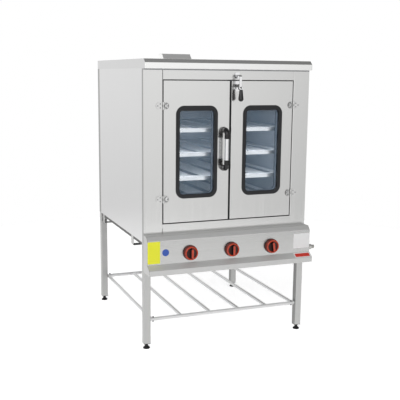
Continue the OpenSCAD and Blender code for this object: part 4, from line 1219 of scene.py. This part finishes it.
class OVEN_OT_labels(bpy.types.Operator):
    """Bare films on the control panel"""
    bl_idname = "oven.labels"
    bl_label = "Labels"

    def execute(self, context):
        face = (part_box("control_panel")[0].y - FRONT) / MM + LEDGE_DEPTH
        for hue, (left, right, bottom, top) in (("yellow", YELLOW_FILM), ("white", WHITE_FILM)):
            film(hue + "_film", [spot(left, face, bottom), spot(right, face, bottom), spot(right, face, top),
                                 spot(left, face, top)], (0, -1, 0), vinyl(hue))
        self.round_film(face)
        self.ledge_films(face)
        return {"FINISHED"}

    def round_film(self, face):
        obj = disc("blue_film", BLUE_RADIUS, spot(BLUE_MIDDLE[0], face, BLUE_MIDDLE[1]), (0, -1, 0), 48)
        t = sizes().film_thickness / MM
        stepped([(0, t), (0.5 * t, 0)])
        smooth(close(obj), 30)
        wear(obj, vinyl("blue"))
        finish_piece(obj, "cabinet", "sheet_steel")

    def ledge_films(self, face):
        """A red film on a white one, which shows as its border."""
        down = Vector((0, -LEDGE_DEPTH, -LEDGE_FALL)).normalized()
        out = Vector((0, -LEDGE_FALL, LEDGE_DEPTH)).normalized()
        for name, edge, lift, hue in (("red_film_border", 0, 0.3, "white"), ("red_film", 5, 0.55, "red")):
            near = spot(0, face, LEDGE_TOP) + down * (RED_START + edge) * MM + out * lift * MM
            far = near + down * (RED_RUN - 2 * edge) * MM
            left, right = Vector(((RED_LEFT + edge) * MM, 0, 0)), Vector(((RED_RIGHT - edge) * MM, 0, 0))
            film(name, [far + left, far + right, near + right, near + left], out, vinyl(hue))


# Crests and roots together, and the roots' radius as a share of the crests'
THREAD_RINGS, THREAD_ROOT = 18, 0.89
# Points nearer to the pipe's axis than this are on its bore
BORE = 9


class OVEN_OT_gas_line(bpy.types.Operator):
    """Gas pipe, inlet thread and valves"""
    bl_idname = "oven.gas_line"
    bl_label = "Gas line"

    def execute(self, context):
        pipe = self.thread(merged_copy("gas_manifold", "gas_pipe_threaded"))
        stand_for(pipe, "gas_manifold", zinc_pipe())
        dress("gas_valves", turned_brass())
        return {"FINISHED"}

    def thread(self, pipe):
        """Crests and roots of the pipe thread on the free end, as rings inside the pipe's radius."""
        low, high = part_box("gas_manifold")
        y, z = (low.y + high.y) / 2, (low.z + high.z) / 2
        pitch = sizes().thread_pitch
        rings = [high.x - (k + 1) * pitch / 2 for k in range(THREAD_RINGS)]
        edit(pipe, "FACE")
        for place in rings:
            bpy.ops.mesh.select_all(action="SELECT")
            bpy.ops.mesh.bisect(plane_co=(place, 0, 0), plane_no=(1, 0, 0))
        for place in rings[:-1:2]:
            pick(pipe, "verts", lambda v: abs(v.co.x - place) < 0.1 * pitch
                 and math.hypot(v.co.y - y, v.co.z - z) > BORE * MM)
            bpy.ops.transform.resize(value=(1, THREAD_ROOT, THREAD_ROOT), center_override=(place, y, z))
        return smooth(done(pipe), 30)


class OVEN_OT_stand(bpy.types.Operator):
    """Legs, rails, straps, shelf tubes and bolts"""
    bl_idname = "oven.stand"
    bl_label = "Stand"

    def execute(self, context):
        corner = sizes().tube_corner
        inwards = lambda f: f.normal.x * (1 if f.center.x < 0 else -1)
        for node in ("front_legs", "rear_legs"):
            legs = sheet_for(node, node + "_square_tube", stand_steel(Z), mill_steel(Z), stand_side_steel(Z),
                             outside=corner)
            # Inner faces take the grey steel, and outer sides and the rear legs' front and back a darker
            # copy, all as painted shade
            paint(legs, 1, lambda f: inwards(f) > 0.9)
            paint(legs, 2, lambda f: inwards(f) < -0.9 or (node == "rear_legs" and abs(f.normal.y) > 0.9))
        # The side rails wear the nearly black steel all over as painted shade under the side panels
        sheet_for("side_rails", "side_rails_square_tube", edge_steel(Y), outside=corner)
        straps = sheet_for("burner_straps", "burner_straps_sheet", stand_steel(X), edge_steel(X))
        # The straps' upward faces take the nearly black steel as painted shade
        paint(straps, 1, lambda f: f.normal.z > 0.5)
        dress("cross_tubes", cross_steel(X))
        dress("shelf_tubes", tube_steel(Y))
        soft_for("corner_bolts", "corner_bolts_round", sizes().bend_round, black_steel_and_shade())
        return {"FINISHED"}


# Height of the disc and collar of a foot, and how much wider than the solid the moulded ones are
FOOT_HEIGHT, FOOT_SPREAD = 25, 1.13


class OVEN_OT_feet(bpy.types.Operator):
    """Levelling feet and the plastic inserts in the legs"""
    bl_idname = "oven.feet"
    bl_label = "Feet"

    def execute(self, context):
        soft_for("leg_inserts", "leg_inserts_moulded", sizes().insert_round, black_nylon())
        for i in (1, 2, 3, 4):
            node = "foot_%d" % i
            foot = softened(node, node + "_moulded", sizes().foot_round, low=40)
            low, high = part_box(node)
            edit(foot, "VERT")
            pick(foot, "verts", lambda v: v.co.z < FOOT_HEIGHT * MM)
            bpy.ops.transform.resize(value=(FOOT_SPREAD, FOOT_SPREAD, 1), center_override=(low + high) / 2)
            stand_for(smooth(done(foot)), node, black_nylon())
        return {"FINISHED"}


class OVEN_OT_chamber(bpy.types.Operator):
    """Oven chamber with shelves, guides, insulation and burners"""
    bl_idname = "oven.chamber"
    bl_label = "Chamber"

    def execute(self, context):
        sheet_for("chamber_walls", "chamber_wall_sheets", oven_steel(Z))
        sheet_for("chamber_floor", "chamber_floor_sheet", oven_steel(Y))
        sheet_for("rack_guides", "rack_guide_angles", oven_steel(Y))
        for i in (1, 2, 3, 4):
            shelf = sheet_for("rack_%d" % i, "shelf_sheet_%d" % i, rack_steel(Y), shelf_lip_steel(X))
            # The lips take the dark copy of the shelf steel as painted shade
            paint(shelf, 1, lambda f: f.normal.y < -0.6)
        dress("insulation", mineral_wool())
        dress("burners", heat_tinted_steel())
        return {"FINISHED"}


# Fitted to the photograph: the place in millimetres from the cabinet's front left corner on the floor, yaw,
# pitch and roll in degrees, and the focal length on a sensor of that width in millimetres
CAMERA_PLACE = (-1108.0, -3592.4, 1470.2)
CAMERA_TURN = (21.633, 9.795, 0.595)
CAMERA_LENS, CAMERA_SENSOR = 65.72, 36.0
# The lamps' places and sizes, and the floor's, are in metres, and their power is in watts
KEY_PLACE, KEY_TARGET, KEY_SIZE, KEY_POWER = (-2.6, -4.2, 3.6), (0, 0, 0.9), (3.0, 3.0), 60
WINDOW_LIGHT_SIZE, WINDOW_LIGHT_POWER = (0.19, 0.44), 1.1
FLOOR_RADIUS = 3.2
# How white the floor is by itself where the camera, a reflection or glass shows it
FLOOR_GLOW = 0.63
# The window lights hang behind the doors, left of the windows' middles, and shine towards the rear wall
WINDOW_LIGHT_SHIFT, WINDOW_LIGHT_START, WINDOW_LIGHT_END = 18, 48, 900


class OVEN_OT_stage(bpy.types.Operator):
    """Camera, floor, soft lamps and the pale room around the oven"""
    bl_idname = "oven.stage"
    bl_label = "Stage"

    def execute(self, context):
        self.camera(context.scene)
        self.room(context.scene)
        self.floor()
        self.lamp("key_softbox", KEY_PLACE, KEY_TARGET, KEY_SIZE, KEY_POWER)
        for side in SIDES:
            self.window_light(side)
        context.scene.view_settings.view_transform = "Standard"
        return {"FINISHED"}

    def camera(self, scene):
        cam = start_from(bpy.ops.object.camera_add, "photo_camera")
        yaw, pitch, roll = (math.radians(a) for a in CAMERA_TURN)
        ahead = Vector((math.sin(yaw) * math.cos(pitch), math.cos(yaw) * math.cos(pitch), -math.sin(pitch)))
        level = Vector((math.cos(yaw), -math.sin(yaw), 0))
        up = level.cross(ahead)
        right = level * math.cos(roll) + up * math.sin(roll)
        top = up * math.cos(roll) - level * math.sin(roll)
        turn = Matrix((right, top, -ahead)).transposed().to_4x4()
        turn.translation = spot(*CAMERA_PLACE)
        cam.matrix_world = turn
        cam.data.sensor_width = CAMERA_SENSOR
        cam.data.lens = CAMERA_LENS
        cam.data.clip_end = 200.0
        scene.camera = cam

    def room(self, scene):
        """A pale room: white at eye level, darker overhead and towards the right front, and white where it is
        looked at."""
        world = bpy.data.worlds.new("studio_room")
        world.use_nodes = True
        tree = world.node_tree
        tree.nodes.clear()
        way = add_node(tree, "ShaderNodeTexCoord").outputs["Generated"]
        split = add_node(tree, "ShaderNodeSeparateXYZ", {"Vector": way})
        overhead = add_node(tree, "ShaderNodeMapRange", {"Value": split.outputs["Z"], "From Min": 0.35,
                                                         "From Max": 0.8, "To Min": 1.0, "To Max": 0.22},
                            interpolation_type="SMOOTHSTEP")
        right = add_node(tree, "ShaderNodeMapRange", {"Value": split.outputs["X"], "From Min": 0.36,
                                                      "From Max": 0.9, "To Min": 1.0, "To Max": 0.3})
        below = add_node(tree, "ShaderNodeMapRange", {"Value": split.outputs["Z"], "From Min": -0.3,
                                                      "From Max": 0.0, "To Min": 0.74, "To Max": 1.0})
        walls = add_node(tree, "ShaderNodeMath", {0: overhead.outputs[0], 1: right.outputs[0]},
                         operation="MULTIPLY")
        tone = add_node(tree, "ShaderNodeMath", {0: walls.outputs[0], 1: below.outputs[0]},
                        operation="MULTIPLY")
        light = add_node(tree, "ShaderNodeBackground", {"Color": tone.outputs[0], "Strength": 1.0})
        white = add_node(tree, "ShaderNodeBackground", {"Color": (1.0, 1.0, 1.0, 1.0), "Strength": 1.0})
        seen = add_node(tree, "ShaderNodeLightPath").outputs["Is Camera Ray"]
        mix = add_node(tree, "ShaderNodeMixShader", {"Fac": seen, 1: light.outputs[0],
                                                  2: white.outputs[0]})
        add_node(tree, "ShaderNodeOutputWorld", {"Surface": mix.outputs[0]})
        scene.world = world

    def floor(self):
        """A round pale floor, matt, that keeps the oven's shadow."""
        floor = start_from(bpy.ops.mesh.primitive_circle_add, "studio_floor", vertices=96,
                           radius=FLOOR_RADIUS, fill_type="NGON", location=(0, 0, 0))
        mat, tree = material("matt_white_floor")
        diffuse = add_node(tree, "ShaderNodeBsdfDiffuse", {"Color": finishes().floor, "Roughness": 1.0})
        path = add_node(tree, "ShaderNodeLightPath")
        seen = add_node(tree, "ShaderNodeMath", {0: path.outputs["Is Camera Ray"],
                                                 1: path.outputs["Is Glossy Ray"]}, operation="MAXIMUM")
        either = add_node(tree, "ShaderNodeMath", {0: seen.outputs[0],
                                                   1: path.outputs["Is Transmission Ray"]},
                          operation="MAXIMUM")
        share = add_node(tree, "ShaderNodeMath", {0: either.outputs[0], 1: FLOOR_GLOW}, operation="MULTIPLY")
        glow = add_node(tree, "ShaderNodeEmission", {"Color": (1.0, 1.0, 1.0, 1.0),
                                                     "Strength": share.outputs[0]})
        both = add_node(tree, "ShaderNodeAddShader", {0: diffuse.outputs[0], 1: glow.outputs[0]})
        add_node(tree, "ShaderNodeOutputMaterial", {"Surface": both.outputs[0]})
        wear(floor, mat)

    def window_light(self, side):
        """Light that falls in through the window."""
        low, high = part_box(side + "_window_seal")
        x = ((low.x + high.x) / 2 - LEFT) / MM - WINDOW_LIGHT_SHIFT
        z = (low.z + high.z) / 2 / MM
        self.lamp(side + "_window_light", spot(x, WINDOW_LIGHT_START, z), spot(x, WINDOW_LIGHT_END, z),
                  WINDOW_LIGHT_SIZE, WINDOW_LIGHT_POWER)

    def lamp(self, name, place, target, size, power):
        lamp = start_from(bpy.ops.object.light_add, name, type="AREA", location=place)
        lamp.data.shape = "RECTANGLE"
        lamp.data.size, lamp.data.size_y = size
        lamp.data.energy = power
        aim = Vector(target) - Vector(place)
        lamp.rotation_euler = aim.to_track_quat("-Z", "Y").to_euler()


STEPS = (OVEN_OT_cabinet, OVEN_OT_doors, OVEN_OT_hinges, OVEN_OT_handle, OVEN_OT_latch, OVEN_OT_control_panel,
         OVEN_OT_knobs, OVEN_OT_labels, OVEN_OT_gas_line, OVEN_OT_stand, OVEN_OT_feet, OVEN_OT_chamber,
         OVEN_OT_stage)


class OVEN_PT_pieces(bpy.types.Panel):
    """Lists the pieces of the oven in the order in which they are made"""
    bl_idname = "OVEN_PT_pieces"
    bl_label = "Gas pastry oven"
    bl_space_type = "VIEW_3D"
    bl_region_type = "UI"
    bl_category = "Oven"

    def draw(self, context):
        for step in STEPS:
            self.layout.operator(step.bl_idname)


CLASSES = (OvenFinishes, OvenSizes) + STEPS + (OVEN_PT_pieces,)


def register():
    for cls in CLASSES:
        bpy.utils.register_class(cls)
    bpy.types.Scene.oven_finishes = bpy.props.PointerProperty(type=OvenFinishes)
    bpy.types.Scene.oven_sizes = bpy.props.PointerProperty(type=OvenSizes)


def unregister():
    del bpy.types.Scene.oven_finishes
    del bpy.types.Scene.oven_sizes
    for cls in reversed(CLASSES):
        bpy.utils.unregister_class(cls)


def main():
    register()
    for step in STEPS:
        group, name = step.bl_idname.split(".")
        getattr(getattr(bpy.ops, group), name)()


if __name__ == "__main__":
    main()
